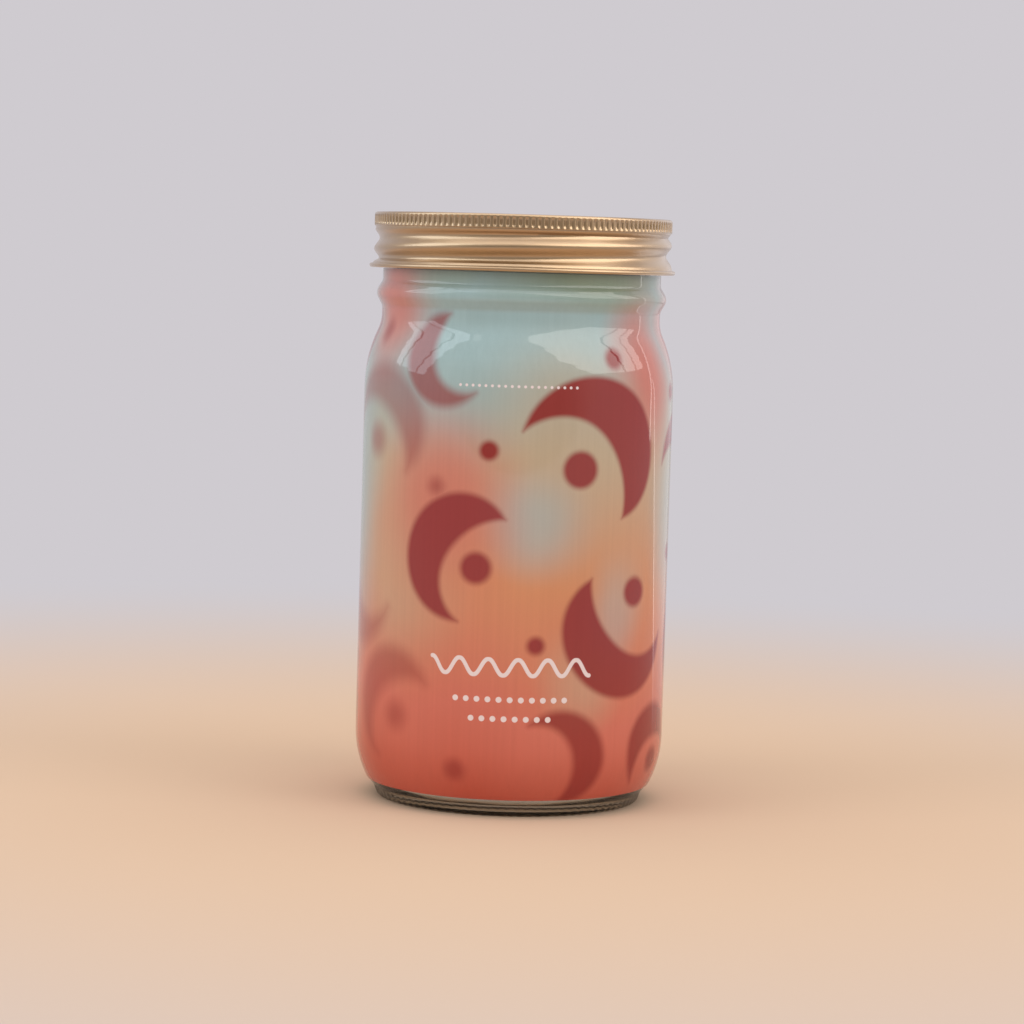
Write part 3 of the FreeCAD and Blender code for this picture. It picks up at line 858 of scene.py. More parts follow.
# Screw band

def wave_radius(height):
    """Mean radius of the pressed wall at a height, eased into the edges above and below."""
    def eased(distance):
        share = max(0.0, min(1.0, distance / WAVE_FADE))
        return share * share * (3 - 2 * share)
    mean = BAND_RADIUS - WAVE_DEPTH
    radius = mean + (WAVE_HIGH_RADIUS - mean) * (1 - eased(WAVE_HIGH - height))
    return radius + (WAVE_LOW_RADIUS - mean) * (1 - eased(height - WAVE_LOW))


def band_points():
    """Closed outline of the band's sheet, without flutes and helix."""
    inner_wall = BAND_RADIUS - KNURL_WALL
    under = BAND_TOP - LIP_SHEET
    heights = [WAVE_HIGH + (WAVE_LOW - WAVE_HIGH) * row / WAVE_ROWS for row in range(WAVE_ROWS + 1)]
    outside = rounded([
        (BAND_OPENING, under, 0),
        (BAND_OPENING, BAND_TOP, 0.15 * MM),
        (BAND_RADIUS, BAND_TOP, BAND_CORNER_ROUND),
        (BAND_RADIUS, KNURL_LOW, KNURL_EDGE),
        (WAVE_HIGH_RADIUS, KNURL_LOW, 0),
    ], math.radians(15))
    wall = [(wave_radius(height), height) for height in heights]
    foot = WAVE_LOW_RADIUS + 0.1 * MM
    roll = rounded([
        (foot, WAVE_LOW, 0),
        (foot, BAND_LOW + ROLL_HEIGHT, 0),
        (ROLL_RADIUS, BAND_LOW + ROLL_HEIGHT, ROLL_ROUND),
        (ROLL_RADIUS, BAND_LOW, ROLL_ROUND),
        (ROLL_RADIUS - ROLL_THICKNESS, BAND_LOW, ROLL_ROUND),
        (ROLL_RADIUS - ROLL_THICKNESS, WAVE_LOW, 0),
    ], math.radians(22))
    inside = [(wave_radius(height) - SHEET, height) for height in heights[::-2]]
    top = rounded([
        (WAVE_HIGH_RADIUS - SHEET, WAVE_HIGH, 0),
        (inner_wall, KNURL_LOW, 0),
        (inner_wall, under, 0.4 * MM),
        (BAND_OPENING, under, 0),
    ], math.radians(30))
    return divided(outside, 0.45 * MM, KNURL_LOW, KNURL_TOP) + wall + roll + inside + top[:-1]


def fluted_and_pressed(graph, given):
    """Flutes of the knurled edge and the helical thread ridges of the band."""
    turn, radius, height = polar(graph)
    knurled = (graph.rise(height, KNURL_LOW + 0.15 * MM, KNURL_LOW + 1.0 * MM)
               * graph.rise(height, KNURL_TOP + 0.35 * MM, KNURL_TOP - 0.35 * MM))
    outer = graph.rise(radius, BAND_RADIUS - 0.6 * MM, BAND_RADIUS - 0.3 * MM)
    wave = graph.math("COSINE", turn * given.of("Flutes"))
    dent = graph.rise(wave, 0.3, -0.8) * knurled * outer * given.of("Flute depth")
    phase = (height - (RIM_HEIGHT - RIDGE_DROP)) * (FULL_TURN / THREAD_LEAD)
    pressed = graph.between(height, WAVE_LOW, WAVE_HIGH, WAVE_FADE)
    helix = graph.math("COSINE", turn - phase) * pressed * given.of("Pressing")
    return moved_out(graph, given, turn, helix - dent)


def gold_finish(name, settings, brushed):
    """Satin gold lacquer over tinplate; brushed is how strongly the rolling lines show."""
    finish = Finish(name, Metallic=1.0, Coat_Weight=1.0, Coat_Roughness=0.24, Coat_IOR=2.0)
    mottle = finish.cloud(240, 3.0)
    fine = finish.cloud(900, 3.0, 0.6, (1, 1, 6))
    finish.set("Base Color", finish.mottled(mottle * 0.5 + fine * 0.4, settings.gold, 0.84))
    finish.set("Roughness", 0.28 + mottle * 0.06 + fine * brushed)
    finish.bump(fine * 0.5 + mottle, 0.12, 0.06 * MM)
    return finish


def make_band(settings):
    segments = settings.flute_count * settings.flute_samples
    band = lathe("gold_band", band_points(), segments, closed=True)
    finish = gold_finish("gold_band", settings, 0.06)
    inputs = {"Flutes": settings.flute_count, "Flute depth": settings.flute_depth,
              "Pressing": WAVE_DEPTH}
    through_nodes(band, "fluted_and_pressed", inputs, fluted_and_pressed, finish)
    keep(band, "band", finish, "screw_band")


# Lid

def make_disc(settings):
    """Stamped disc: plain middle, one pressed ring, a shallow step and a short skirt."""
    top = BAND_TOP - LIP_SHEET - 0.05 * MM
    raised = top + 0.3 * MM
    ring_inner = DISC_RADIUS - 14.6 * MM
    ring_outer = ring_inner + 5.5 * MM
    slope = 1.5 * MM
    soft = 0.8 * MM
    corners = [
        (0, top, 0),
        (ring_inner, top, soft),
        (ring_inner + slope, raised, soft),
        (ring_outer - slope, raised, soft),
        (ring_outer, top, soft),
        (DISC_RADIUS, top, 0.6 * MM),
        (DISC_RADIUS, top - 1.3 * MM, 0),
    ]
    disc = lathe("gold_disc", rounded(corners) + rounded(grown(corners, 0.4 * MM))[::-1], 256)
    keep(disc, "lid", gold_finish("gold_disc", settings, 0.04), "lid_disc")


def make_seal(settings):
    """Flowed-in ring of sealing compound under the disc."""
    box_low, box_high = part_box("lid_seal")
    outer = box_high.x
    inner = outer - 3.0 * MM
    bead = 0.25 * MM
    start = (inner, (box_low.z + box_high.z) / 2, 0)
    points = rounded([start, (inner, box_low.z, bead), (outer, box_low.z, bead),
                      (outer, box_high.z, bead), (inner, box_high.z, bead), start])
    seal = lathe("seal_ring", points[:-1], 200, closed=True)
    finish = Finish("seal_compound", Roughness=0.62)
    speck = finish.cloud(900, 3.0)
    finish.set("Base Color", finish.mottled(speck, settings.seal, 0.9))
    finish.bump(speck, 0.3, 0.08 * MM)
    keep(seal, "lid", finish, "lid_seal")


# Pot, wick and medium

def make_pot(settings):
    """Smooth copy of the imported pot, in stainless steel with brushed lines that run round it."""
    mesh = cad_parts["net_pot"].data.copy()
    mesh.name = "steel_net_pot"
    merged(mesh, 2 * DOUBLED, False)
    mesh.materials.clear()
    smooth(mesh, math.radians(30))
    finish = Finish("stainless", Metallic=1.0)
    lines = finish.cloud(120, 4.0, 0.65, (1, 1, 40))
    haze = finish.cloud(60, 3.0)
    finish.set("Base Color", finish.mottled(lines * 0.6 + haze * 0.3, settings.steel, 0.8))
    finish.set("Roughness", 0.22 + lines * 0.16 + haze * 0.08)
    finish.bump(lines, 0.18, 0.05 * MM)
    keep(linked("steel_net_pot", mesh), "pot", finish, "net_pot")


# Unevenness of felt, as a size and its cells per metre: its waves, its fuzz, and the share of its width
FELT_WAVE = (0.35 * MM, 90)
FELT_FUZZ = (0.12 * MM, 900)
FELT_SPREAD = (0.02, 60)


def uneven(kind, place):
    """Height of one kind of unevenness at a place."""
    size, cells = kind
    return size * noise.noise(Vector(place) * cells)


def ribbon(name, path, width, thickness, across_count):
    """Soft strip with rounded edges that follows a path in the XZ plane and lies across Y."""
    half = thickness / 2
    flat = width / 2 - half
    side_steps = 4
    rim = []
    for side in (1, -1):
        turns = [math.pi * step / side_steps - math.pi / 2 for step in range(side_steps + 1)]
        rim += [(side * (flat + half * math.cos(turn)), side * half * math.sin(turn)) for turn in turns]
        rim += [(side * flat * (1 - 2 * step / across_count), side * half)
                for step in range(1, across_count)]
    verts = []
    for (x, z), before, after in zip(path, path[:1] + path, path[1:] + path[-1:]):
        run, rise, _ = unit(before, after)
        for y, out in rim:
            fuzz = uneven(FELT_FUZZ, (x, y * 2, z))
            lift = out + uneven(FELT_WAVE, (x, y, z)) + (fuzz if out > 0 else -fuzz)
            spread = 1 + uneven(FELT_SPREAD, (z, x, 0))
            verts.append((x - rise * lift, y * spread, z + run * lift))
    count = len(rim)
    ends = [tuple(range(count)), tuple(range(len(verts) - count, len(verts)))]
    return solid(name, verts, tube_faces(len(path), count) + ends, math.radians(60))


def make_wick(settings):
    """Felt strip over the pot's floor, with a tail down through each slot."""
    box_low, box_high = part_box("wick")
    thickness = 2.0 * MM
    half_span = box_high.x - thickness / 2
    top = box_high.z - thickness / 2
    bend = 1.9 * MM
    corners = [(-half_span, box_low.z, 0), (-half_span, top, bend), (half_span, top, bend),
               (half_span, box_low.z, 0)]
    path = without_doubles(divided(rounded(corners, math.radians(15)), 1.0 * MM))
    wick = ribbon("felt_wick", path, 19.6 * MM, 1.7 * MM, 16)
    finish = Finish("felt", Roughness=0.95, Sheen_Weight=0.4, Sheen_Roughness=0.5)
    fibre = finish.cloud(1500, 4.0, 0.7, (1, 1, 0.35))
    patch = finish.cloud(160, 3.0)
    finish.set("Base Color", finish.mottled(fibre * 0.6 + patch * 0.3, settings.felt, 0.72))
    finish.bump(fibre + patch * 0.5, 0.7, 0.35 * MM)
    keep(wick, "pot", finish, "wick")


def scattered_fibres(graph, given):
    """Short crossed fibres strewn over the upper faces of the pressed medium, clear of the pot's wall."""
    up = graph.split(graph.node("GeometryNodeInputNormal"))[2]
    facing = (graph.math("GREATER_THAN", up, 0.35)
              * graph.math("LESS_THAN", polar(graph)[1], given.of("Reach")))
    sockets = {"Mesh": given, "Selection": facing, "Density Max": given.of("Density"),
               "Distance Min": 0.5 * MM, "Density Factor": 1.0, "Seed": 7}
    points = graph.node("GeometryNodeDistributePointsOnFaces", sockets, distribute_method="POISSON")
    sockets = {"Resolution": 5, "Start": (0.0, 0.0, 0.0), "Start Handle": (1.2 * MM, 0.3 * MM, 0.5 * MM),
               "End Handle": (2.4 * MM, -0.5 * MM, 0.8 * MM), "End": (4.2 * MM, 0.2 * MM, 0.1 * MM)}
    arc = graph.node("GeometryNodeCurvePrimitiveBezierSegment", sockets)
    circle = graph.node("GeometryNodeCurvePrimitiveCircle", {"Resolution": 4, "Radius": 0.09 * MM})
    sockets = {"Curve": arc, "Profile Curve": circle, "Fill Caps": True}
    fibre = graph.node("GeometryNodeCurveToMesh", sockets)
    sockets = {"Min": (-0.35, -0.35, 0.0), "Max": (0.35, 0.35, FULL_TURN), "Seed": 11}
    spin = graph.node("FunctionNodeRandomValue", sockets, data_type="FLOAT_VECTOR")
    size = graph.node("FunctionNodeRandomValue", {2: 0.5, 3: 1.25, "Seed": 5}, 1, data_type="FLOAT")
    sockets = {"Points": points, "Instance": fibre, "Rotation": spin, "Scale": size}
    return graph.node("GeometryNodeInstanceOnPoints", sockets)


def coir_finish(settings):
    finish = Finish("coir", Roughness=0.92)
    clump = finish.cloud(260, 4.0, 0.65)
    fibre = finish.cloud(1300, 4.0, 0.7, (1, 0.4, 1))
    base = finish.mix(finish.rise(clump, 0.3, 0.7), toned(settings.coir, 0.4), settings.coir)
    light = finish.mix(finish.rise(fibre, 0.45, 0.8), base, toned(settings.coir, 1.7))
    finish.set("Base Color", light)
    finish.bump(clump + fibre * 0.6, 0.9, 0.6 * MM)
    return finish


# Crumbs of the puck: their height, cells per metre and limit at its side; the margin that tells its
# faces from its side; and how far inside its edge a fibre starts
CRUMB_HEIGHT = 0.45 * MM
CRUMB_CELLS = 260
CRUMB_SIDE_LIMIT = 0.3 * MM
FACE_EDGE = 0.5 * MM
FIBRE_EDGE = 5.2 * MM


def make_medium(settings):
    """Pressed puck with a crumbly face and loose fibres."""
    box_low, box_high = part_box("grow_medium")
    radius = min(box_high.x, box_high.y) - 0.5 * MM
    bottom = box_low.z + 0.4 * MM
    top = box_high.z - 0.9 * MM
    edge = 1.5 * MM
    outline = [(0, bottom, 0), (radius, bottom, edge), (radius, top, edge), (0, top, 0)]
    puck = lathe("coir_puck", divided(rounded(outline), 0.9 * MM), 160)
    for vertex in puck.data.vertices:
        place = vertex.co
        crumb = noise.fractal(place * CRUMB_CELLS, 0.8, 2.0, 4) * CRUMB_HEIGHT
        outwards = Vector((place.x, place.y, 0)).normalized() if place.length > ON_AXIS else Vector()
        if place.z > top - FACE_EDGE:
            place.z += crumb
        elif place.z > bottom + FACE_EDGE:
            vertex.co = place + outwards * min(crumb, CRUMB_SIDE_LIMIT)
    finish = coir_finish(settings)
    fibres = linked("coir_fibres", puck.data.copy())
    inputs = {"Density": settings.fibre_count / (math.pi * radius * radius), "Reach": radius - FIBRE_EDGE}
    through_nodes(fibres, "scattered_fibres", inputs, scattered_fibres, finish, math.radians(80))
    smooth(puck.data, math.radians(70))
    keep(puck, "pot", finish, "grow_medium")
    keep(fibres, "pot", finish)


# Sachets, packet and card

# Shape of a filled sachet: how its crown eases and fills it, and the depth and rate of folds and lumps
CROWN_EASE = 0.55
FULLNESS = 0.93
FOLD_DEPTH = 0.05
FOLD_RATE = 34
LUMP_DEPTH = 0.10
LUMP_CELLS = 260


def pillow(name, node, crown_power, columns=50, rows=88):
    """Filled sachet: two crowned skins that meet in a flat crimped hem."""
    box_low, box_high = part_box(node)
    middle = (box_low + box_high) / 2
    half = (box_high - box_low) / 2
    hem = 3.0 * MM
    hem_half = 0.12 * MM
    crimp_run = 0.5 * MM
    height = half.z - 0.35 * MM
    grid = [(2 * column / columns - 1, 2 * row / rows - 1)
            for row in range(rows + 1) for column in range(columns + 1)]
    verts = []
    for side in (1, -1):
        for u, v in grid:
            x = u * half.x
            y = v * half.y
            inner_x = max(0.0, 1 - (abs(x) / (half.x - hem)) ** crown_power)
            inner_y = max(0.0, 1 - (abs(y) / (half.y - hem)) ** crown_power)
            crown = (inner_x * inner_y) ** CROWN_EASE
            fold = FOLD_DEPTH * math.sin(FOLD_RATE * (abs(u) - abs(v))) * (1 - crown) * crown * 4
            lump = LUMP_DEPTH * noise.noise(Vector((x, y, side * 0.01)) * LUMP_CELLS) * crown
            crimp = hem_half * math.sin(y / crimp_run) if crown == 0 else 0.0
            rise = height * min(1.0, crown * (FULLNESS + fold + lump))
            verts.append((middle.x + x * (1 - 0.03 * crown), middle.y + y * (1 - 0.02 * crown),
                          middle.z + side * (rise + hem_half) + crimp))
    wide = columns + 1
    size = wide * (rows + 1)
    faces = [(first, first + 1, first + wide + 1, first + wide)
             for row in range(rows) for first in range(row * wide, row * wide + columns)]
    faces += [tuple(corner + size for corner in face[::-1]) for face in faces]
    border = [*range(wide), *range(2 * wide - 1, size, wide), *range(size - 2, size - wide - 1, -1),
              *range(size - 2 * wide, 0, -wide)]
    faces += [(second, first, first + size, second + size)
              for first, second in zip(border, border[1:] + border[:1])]
    return solid(name, verts, faces, math.radians(50))


def make_sachet(name, node, finish, shade, grain_scale, crown_power):
    """One sachet in grained paper or film."""
    sachet = pillow(name, node, crown_power)
    grain = finish.cloud(grain_scale, 4.0, 0.65)
    soft = finish.cloud(120, 2.0)
    finish.set("Base Color", finish.mottled(grain * 0.5 + soft * 0.4, shade, 0.8))
    finish.bump(grain * 0.5 + soft, 0.5, 0.3 * MM)
    keep(sachet, "jar", finish, node)
    return sachet


def make_sachets(settings):
    paper = Finish("carbon_paper", Roughness=0.8, Coat_Weight=0.0, Coat_Roughness=0.2)
    carbon = make_sachet("carbon_pillow", "carbon_sachet", paper, settings.paper, 900, 2.2)
    film = Finish("food_film", Roughness=0.45, Coat_Weight=0.3, Coat_Roughness=0.2)
    food = make_sachet("food_pillow", "food_sachet", film, settings.foil, 500, 2.6)


def paper_finish(name, base, marks, *inks):
    """Uncoated paper or card with fibres; marks prints on it with the inks."""
    finish = Finish(name, Roughness=0.85)
    _, y, z = finish.place()
    fibre = finish.cloud(1400, 4.0, 0.7, (1, 0.5, 1))
    soft = finish.cloud(90, 3.0)
    shade = finish.mottled(fibre * 0.5 + soft * 0.4, base, 0.84)
    finish.set("Base Color", marks(finish, shade, y, z, *inks))
    finish.bump(fibre, 0.3, 0.08 * MM)
    return finish


def packet_marks(graph, shade, y, z, field_ink, dot_ink):
    """Plain coloured field with a row of dots under it."""
    field = graph.within(y, 19.0) * graph.within(z - 52.0, 20.0)
    shade = graph.mix(field * 0.8, shade, field_ink)
    dots = graph.rise(graph.away(graph.repeated(y, 6.0), z - 24.0), 1.5, 1.2)
    return graph.mix(dots * graph.within(y, 15.0), shade, dot_ink)


def card_marks(graph, shade, y, z, ink):
    """Rows of short grey rules, as a block of notes has."""
    rule = graph.within(graph.repeated(z, 4.0), 0.35)
    ragged = graph.math("SINE", graph.math("FLOOR", (z + 2.0) / 4.0) * 2.3) * 5.0 + 12.0
    inside = (graph.math("GREATER_THAN", y, -19.0) * graph.math("LESS_THAN", y, ragged)
              * graph.math("LESS_THAN", z, 92.0) * graph.math("GREATER_THAN", z, 20.0))
    return graph.mix(rule * inside * 0.75, shade, ink)


# Share of the packet's thickness that its hem loses
HEM_THINNING = 0.55


def make_packet(settings):
    """Flat upright packet with rounded edges that thins towards its hem."""
    box_low, box_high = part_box("seed_packet")
    middle = (box_low + box_high) / 2
    size = box_high - box_low
    mesh = bpy.data.meshes.new("kraft_packet")
    bm = bmesh.new()
    bmesh.ops.create_cube(bm, size=1.0)
    for vertex in bm.verts:
        vertex.co = vertex.co * size + middle
    long_edges = [edge for edge in bm.edges if edge.calc_length() > 5 * size.x]
    bmesh.ops.subdivide_edges(bm, edges=long_edges, cuts=24, use_grid_fill=True)
    bm.to_mesh(mesh)
    bm.free()
    packet = linked("kraft_packet", mesh)
    bevel = packet.modifiers.new("edge", "BEVEL")
    bevel.width = 0.3 * MM
    bevel.segments = 2
    bevel.limit_method = "ANGLE"
    applied(packet, bevel)
    for vertex in packet.data.vertices:
        off = vertex.co - middle
        flat = 1 - (1 - (2 * off.y / size.y) ** 4) * (1 - (2 * off.z / size.z) ** 4)
        vertex.co.x = middle.x + off.x * (1 - HEM_THINNING * flat)
    smooth(packet.data)
    finish = paper_finish("packet_paper", settings.kraft, packet_marks, settings.field, settings.dots)
    keep(packet, "jar", finish, "seed_packet")


def folded_sheet(name, outline, heights, thickness):
    """Upright sheet that follows an outline in the XY plane."""
    sides = []
    for offset in (thickness / 2, -thickness / 2):
        side = []
        for (x, y), before, after in zip(outline, outline[:1] + outline, outline[1:] + outline[-1:]):
            run, rise, _ = unit(before, after)
            side.append((x - rise * offset, y + run * offset))
        sides.append(side)
    loop = sides[0] + sides[1][::-1]
    verts = [(x, y, height) for height in heights for x, y in loop]
    count = len(loop)
    caps = [(base + step, base + step + 1, base + count - 2 - step, base + count - 1 - step)
            for base in (0, len(verts) - count) for step in range(count // 2 - 1)]
    return solid(name, verts, tube_faces(len(heights), count) + caps)


def make_card(settings):
    """Card folded once, with its fold towards the front."""
    box_low, box_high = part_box("growing_card")
    leaf = 0.4 * MM
    bend = (box_high.x - box_low.x) / 2
    middle = box_low.x + bend
    arm = bend - leaf / 2
    leaf_steps = 24
    fold_steps = 8
    fold = box_low.y + bend
    levels = [fold + (box_high.y - fold) * step / leaf_steps for step in range(leaf_steps + 1)]
    turns = [math.pi * step / fold_steps for step in range(1, fold_steps)]
    outline = [(middle - arm, level) for level in levels[::-1]]
    outline += [(middle - arm * math.cos(turn), fold - arm * math.sin(turn)) for turn in turns]
    outline += [(middle + arm, level) for level in levels]
    rows = divided([(0, box_low.z), (0, box_high.z)], 4 * MM)
    card = folded_sheet("folded_card", outline, [height for _, height in rows], leaf * 0.9)
    finish = paper_finish("card_stock", settings.card, card_marks, settings.rules)
    keep(card, "jar", finish, "growing_card")


# Studio

COOL = (0.84, 0.92, 1.0, 1.0)
WARM = (1.0, 0.95, 0.92, 1.0)
REAR = (0.97, 0.95, 1.0, 1.0)
REAR_LINE = (1.0, 0.97, 0.97, 1.0)
# Bright panels that only gloss sees: strength, colour and corners as azimuth from the front and
# elevation in degrees
PANELS = {
    "left_pane_low": (2.9, COOL, ((-75, 8), (-36, 46), (-46, 48), (-82, 9))),
    "left_pane_mid": (2.5, COOL, ((-83.5, 9), (-49, 48), (-78, 50), (-99, 10))),
    "left_pane_high": (2.8, COOL, ((-100.5, 10), (-81, 50), (-96, 46), (-106, 11))),
    "right_pane_low": (2.8, (1.0, 0.97, 0.94, 1.0),
                       ((57, 13), (32, 25), (19, 37), (9, 42), (0, 48), (30, 52), (58, 52), (86, 12))),
    "right_pane_high": (3.0, WARM, ((88, 12), (60, 52), (80, 56), (98, 12))),
    "right_pane_edge": (2.8, WARM, ((99.5, 12), (82, 54), (92, 50), (107, 12))),
    "rear_panel": (0.95, REAR, ((116, -4), (116, 34), (160, 34), (160, -4))),
    "rear_edge": (2.6, REAR_LINE, ((113.5, -4), (113.5, 30), (115.2, 30), (115.2, -4))),
}
PANEL_DISTANCE = 1.4
PANEL_CENTRE = Vector((0, 0, 0.13))
# The rear panel goes on low down beside the jar, where a far one would meet the floor, and leans away
# and fades towards its foot: strength, colour, and its ends as shares of the way between two places
LOW_PANELS = {
    "low_panel": (0.95, REAR, (0.0, 1.0)),
    "low_edge": (2.6, REAR_LINE, (-0.025, 0.0)),
}
LOW_PANEL_NEAR = Vector((0.115, 0.018, 0.001))
LOW_PANEL_FAR = Vector((0.078, 0.080, 0.001))
LOW_PANEL_TOP = Vector((0, 0, 0.134))
LOW_PANEL_LEAN = 0.45
# Dim wall behind the camera: its place, and its strength in the middle and at its open ends
FLAG_DISTANCE = 1.5
FLAG_HALF_WIDTH = 2.6
FLAG_HEIGHT = 1.1
FLAG_LEVEL = 0.26
OPEN_LEVEL = 0.62


def make_world(settings):
    """Even fill light, with the pale backdrop where camera, gloss and glass look at it."""
    world = bpy.data.worlds.new("studio")
    world.use_nodes = True
    bpy.context.scene.world = world
    graph = Graph(world.node_tree)
    rays = graph.node("ShaderNodeLightPath", output="Is Camera Ray")
    seen = graph.highest([rays, rays.of("Is Glossy Ray"), rays.of("Is Transmission Ray")])
    fill = graph.node("ShaderNodeBackground", {"Color": (1.0, 1.0, 1.0, 1.0), "Strength": 0.70})
    shown = graph.node("ShaderNodeBackground", {"Color": settings.backdrop, "Strength": 1.0})
    graph.node("ShaderNodeOutputWorld", {"Surface": graph.blend(seen, fill, shown)})


def make_floor(settings):
    """Wide pale floor that runs out into the backdrop's colour; a camera below looks through it."""
    level = -0.02 * MM
    floor = lathe("studio_floor", [(0, level), (0.35, level), (6.0, level)], 96)
    finish = Finish("pale_floor", Roughness=0.6, Specular_IOR_Level=0.0)
    finish.set("Base Color", settings.floor)
    x, y, _ = finish.place()
    glow = finish.node("ShaderNodeEmission", {"Color": settings.backdrop, "Strength": 1.0})
    both = finish.blend(finish.rise(finish.away(x, y), 110.0, 620.0), finish.shader, glow)
    topside = finish.node("ShaderNodeNewGeometry", output="Backfacing")
    from_below = (1.0 - topside) * finish.node("ShaderNodeLightPath", output="Is Camera Ray")
    clear = finish.node("ShaderNodeBsdfTransparent")
    finish.feed(finish.surface, finish.blend(from_below, both, clear))
    floor.data.materials.append(finish.material)


def add_softbox(name, place, size, power, mirrored=True):
    """Square area lamp that faces the middle of the jar; mirrored is whether gloss shows it."""
    lamp = bpy.data.lights.new(name, "AREA")
    lamp.shape = "RECTANGLE"
    lamp.size = lamp.size_y = size
    lamp.energy = power
    holder = linked(name, lamp)
    holder.location = place
    aim = Vector((0, 0, 0.09)) - Vector(place)
    holder.rotation_euler = aim.to_track_quat("-Z", "Y").to_euler()
    holder.visible_glossy = mirrored


def add_panel(name, verts, shade, strength, cover=None):
    """Sheet of light that only gloss sees; strength and cover may be functions of its finish."""
    mesh = bpy.data.meshes.new(name)
    mesh.from_pydata(verts, [], [tuple(range(len(verts)))])
    finish = Finish(name)
    amount = strength(finish) if callable(strength) else strength
    glow = finish.node("ShaderNodeEmission", {"Color": shade, "Strength": amount})
    if cover:
        glow = finish.blend(cover(finish), finish.node("ShaderNodeBsdfTransparent"), glow)
    finish.feed(finish.surface, glow)
    mesh.materials.append(finish.material)
    panel = linked(name, mesh)
    panel.visible_camera = False
    panel.visible_diffuse = False
    panel.visible_transmission = False
    panel.visible_shadow = False


def faded_at_foot(finish):
    """Cover that comes up from nothing over the lowest 60 mm."""
    return finish.rise(finish.place()[2], 4.0, 60.0)


def flag_strength(finish):
    """Dim in the middle, and brighter towards its ends and along its top."""
    x, _, z = finish.place()
    out = finish.rise(finish.math("ABSOLUTE", x), 700.0, 2300.0)
    up = finish.rise(z, 350.0, 1000.0)
    return finish.highest([out, up]) * (OPEN_LEVEL - FLAG_LEVEL) + FLAG_LEVEL


def make_panels():
    """Window panes at given directions from the jar's shoulder, the low panel and the dim wall."""
    for name, (strength, shade, corners) in PANELS.items():
        turns = [(math.radians(azimuth), math.radians(elevation)) for azimuth, elevation in corners]
        away = [Vector((math.sin(turn) * math.cos(lift), -math.cos(turn) * math.cos(lift), math.sin(lift)))
                for turn, lift in turns]
        add_panel(name, [PANEL_CENTRE + part * PANEL_DISTANCE for part in away], shade, strength)
    for name, (strength, shade, ends) in LOW_PANELS.items():
        near, far = (LOW_PANEL_NEAR.lerp(LOW_PANEL_FAR, end) + LOW_PANEL_TOP for end in ends)
        near_foot, far_foot = (LOW_PANEL_NEAR.lerp(LOW_PANEL_FAR, min(1.0, end + LOW_PANEL_LEAN))
                               for end in ends)
        add_panel(name, [near_foot, far_foot, far, near], shade, strength, faded_at_foot)
    flag = [(side * FLAG_HALF_WIDTH, -FLAG_DISTANCE, level)
            for side, level in ((-1, 0), (1, 0), (1, FLAG_HEIGHT), (-1, FLAG_HEIGHT))]
    add_panel("front_flag", flag, (1.0, 0.96, 0.94, 1.0), flag_strength)


def make_camera(settings):
    camera = bpy.data.cameras.new("view")
    camera.sensor_width = 36.0
    camera.lens = settings.lens
    holder = linked("view", camera)
    holder.location = (settings.side, -settings.distance, settings.height)
    tilt = Euler((math.pi / 2 - settings.pitch, 0, 0)).to_matrix()
    roll = Euler((0, 0, settings.roll)).to_matrix()
    holder.rotation_euler = (tilt @ roll).to_euler()
    bpy.context.scene.camera = holder


def make_stage(settings):
    """World, floor, a wide soft top light, a soft lamp at each side, the panels and the camera."""
    make_world(settings)
    make_floor(settings)
    add_softbox("ceiling", (0, -0.2, 1.9), 2.6, 20.0)
    add_softbox("left_soft", (-1.4, -0.7, 0.8), 0.9, 6.0, mirrored=False)
    add_softbox("right_soft", (1.4, -0.7, 0.8), 0.9, 6.0, mirrored=False)
    make_panels()
    make_camera(settings)
    bpy.context.scene.view_settings.view_transform = "Standard"


# Add-on

class PLANTER_OT_stage(bpy.types.Operator):
    """Set up the pale floor, the light and the camera"""
    bl_idname = "planter.stage"
    bl_label = "Stage"

    def execute(self, context):
        make_stage(context.scene.planter_stage)
        return {"FINISHED"}


class PLANTER_OT_glass(bpy.types.Operator):
    """Build the glass jar with its thread and contact notches"""
    bl_idname = "planter.glass"
    bl_label = "Glass jar"

    def execute(self, context):
        make_glass(context.scene.planter_glass)
        return {"FINISHED"}


class PLANTER_OT_sleeve(bpy.types.Operator):
    """Build the printed film round the glass"""
    bl_idname = "planter.sleeve"
    bl_label = "Printed film"

    def execute(self, context):
        make_sleeve(context.scene.planter_print)
        return {"FINISHED"}


class PLANTER_OT_band(bpy.types.Operator):
    """Build the screw band with its flutes and pressed thread"""
    bl_idname = "planter.band"
    bl_label = "Screw band"

    def execute(self, context):
        make_band(context.scene.planter_band)
        return {"FINISHED"}


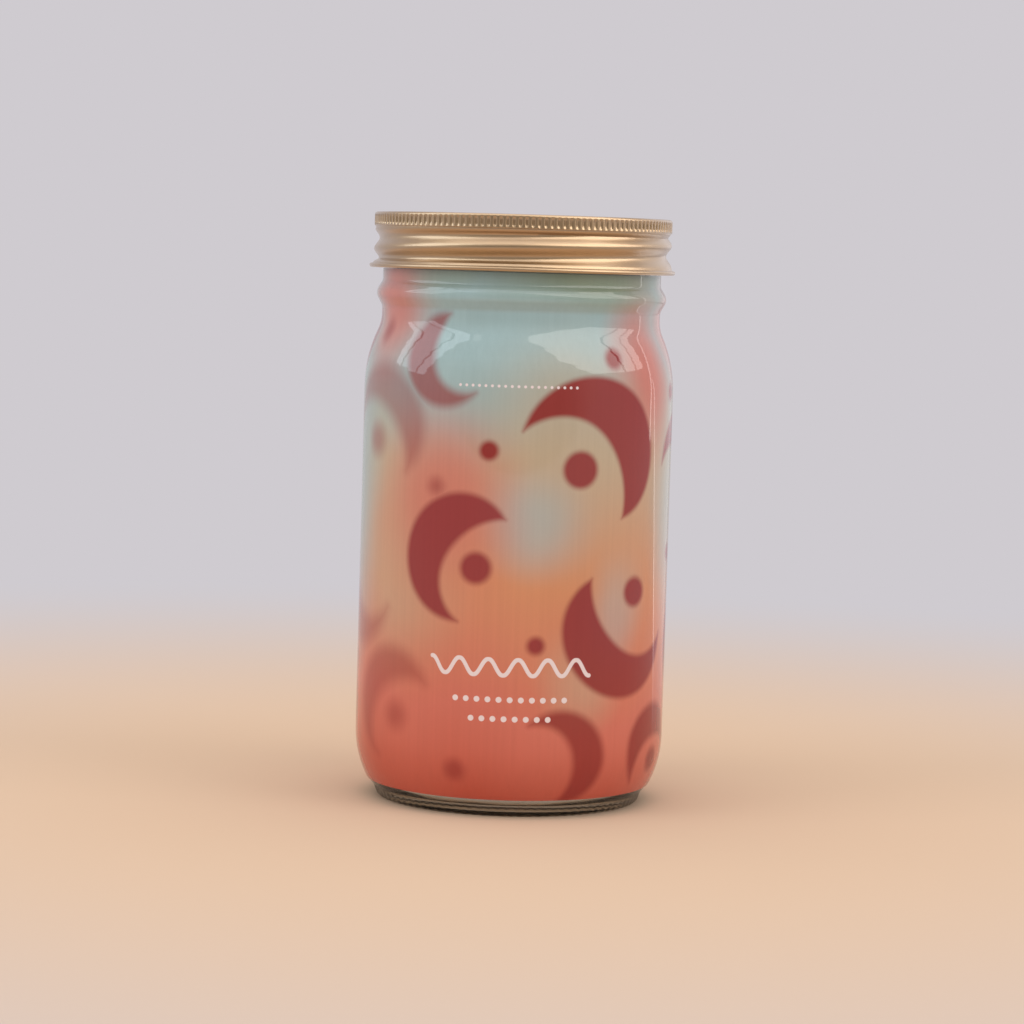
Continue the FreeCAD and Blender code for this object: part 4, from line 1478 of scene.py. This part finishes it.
class PLANTER_OT_lid(bpy.types.Operator):
    """Build the lid disc and its sealing ring"""
    bl_idname = "planter.lid"
    bl_label = "Lid disc and seal"

    def execute(self, context):
        make_disc(context.scene.planter_band)
        make_seal(context.scene.planter_band)
        return {"FINISHED"}


class PLANTER_OT_pot(bpy.types.Operator):
    """Build the net pot with its wick and growing medium"""
    bl_idname = "planter.pot"
    bl_label = "Pot, wick and medium"

    def execute(self, context):
        for make in (make_pot, make_wick, make_medium):
            make(context.scene.planter_kit)
        return {"FINISHED"}


class PLANTER_OT_kit(bpy.types.Operator):
    """Build the sachets, the seed packet and the folded card"""
    bl_idname = "planter.kit"
    bl_label = "Sachets, packet and card"

    def execute(self, context):
        for make in (make_sachets, make_packet, make_card):
            make(context.scene.planter_kit)
        return {"FINISHED"}


GROUPS = {
    "planter_glass": PlanterGlass,
    "planter_print": PlanterPrint,
    "planter_band": PlanterBand,
    "planter_kit": PlanterKit,
    "planter_stage": PlanterStage,
}
OPERATORS = (PLANTER_OT_stage, PLANTER_OT_glass, PLANTER_OT_sleeve, PLANTER_OT_band, PLANTER_OT_lid,
             PLANTER_OT_pot, PLANTER_OT_kit)


class PLANTER_PT_panel(bpy.types.Panel):
    """Sidebar panel with one button for each group of pieces"""
    bl_idname = "PLANTER_PT_panel"
    bl_label = "Jar planter"
    bl_space_type = "VIEW_3D"
    bl_region_type = "UI"
    bl_category = "Jar planter"

    def draw(self, context):
        for operator in OPERATORS:
            self.layout.operator(operator.bl_idname)


def register():
    for kind in (*GROUPS.values(), *OPERATORS, PLANTER_PT_panel):
        bpy.utils.register_class(kind)
    for name, group in GROUPS.items():
        setattr(bpy.types.Scene, name, PointerProperty(type=group))


def unregister():
    for name in GROUPS:
        delattr(bpy.types.Scene, name)
    for kind in (PLANTER_PT_panel, *OPERATORS, *GROUPS.values()):
        bpy.utils.unregister_class(kind)


def main():
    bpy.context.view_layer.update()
    register()
    bpy.ops.planter.stage()
    bpy.ops.planter.glass()
    bpy.ops.planter.sleeve()
    bpy.ops.planter.band()
    bpy.ops.planter.lid()
    bpy.ops.planter.pot()
    bpy.ops.planter.kit()


if __name__ == "__main__":
    main()
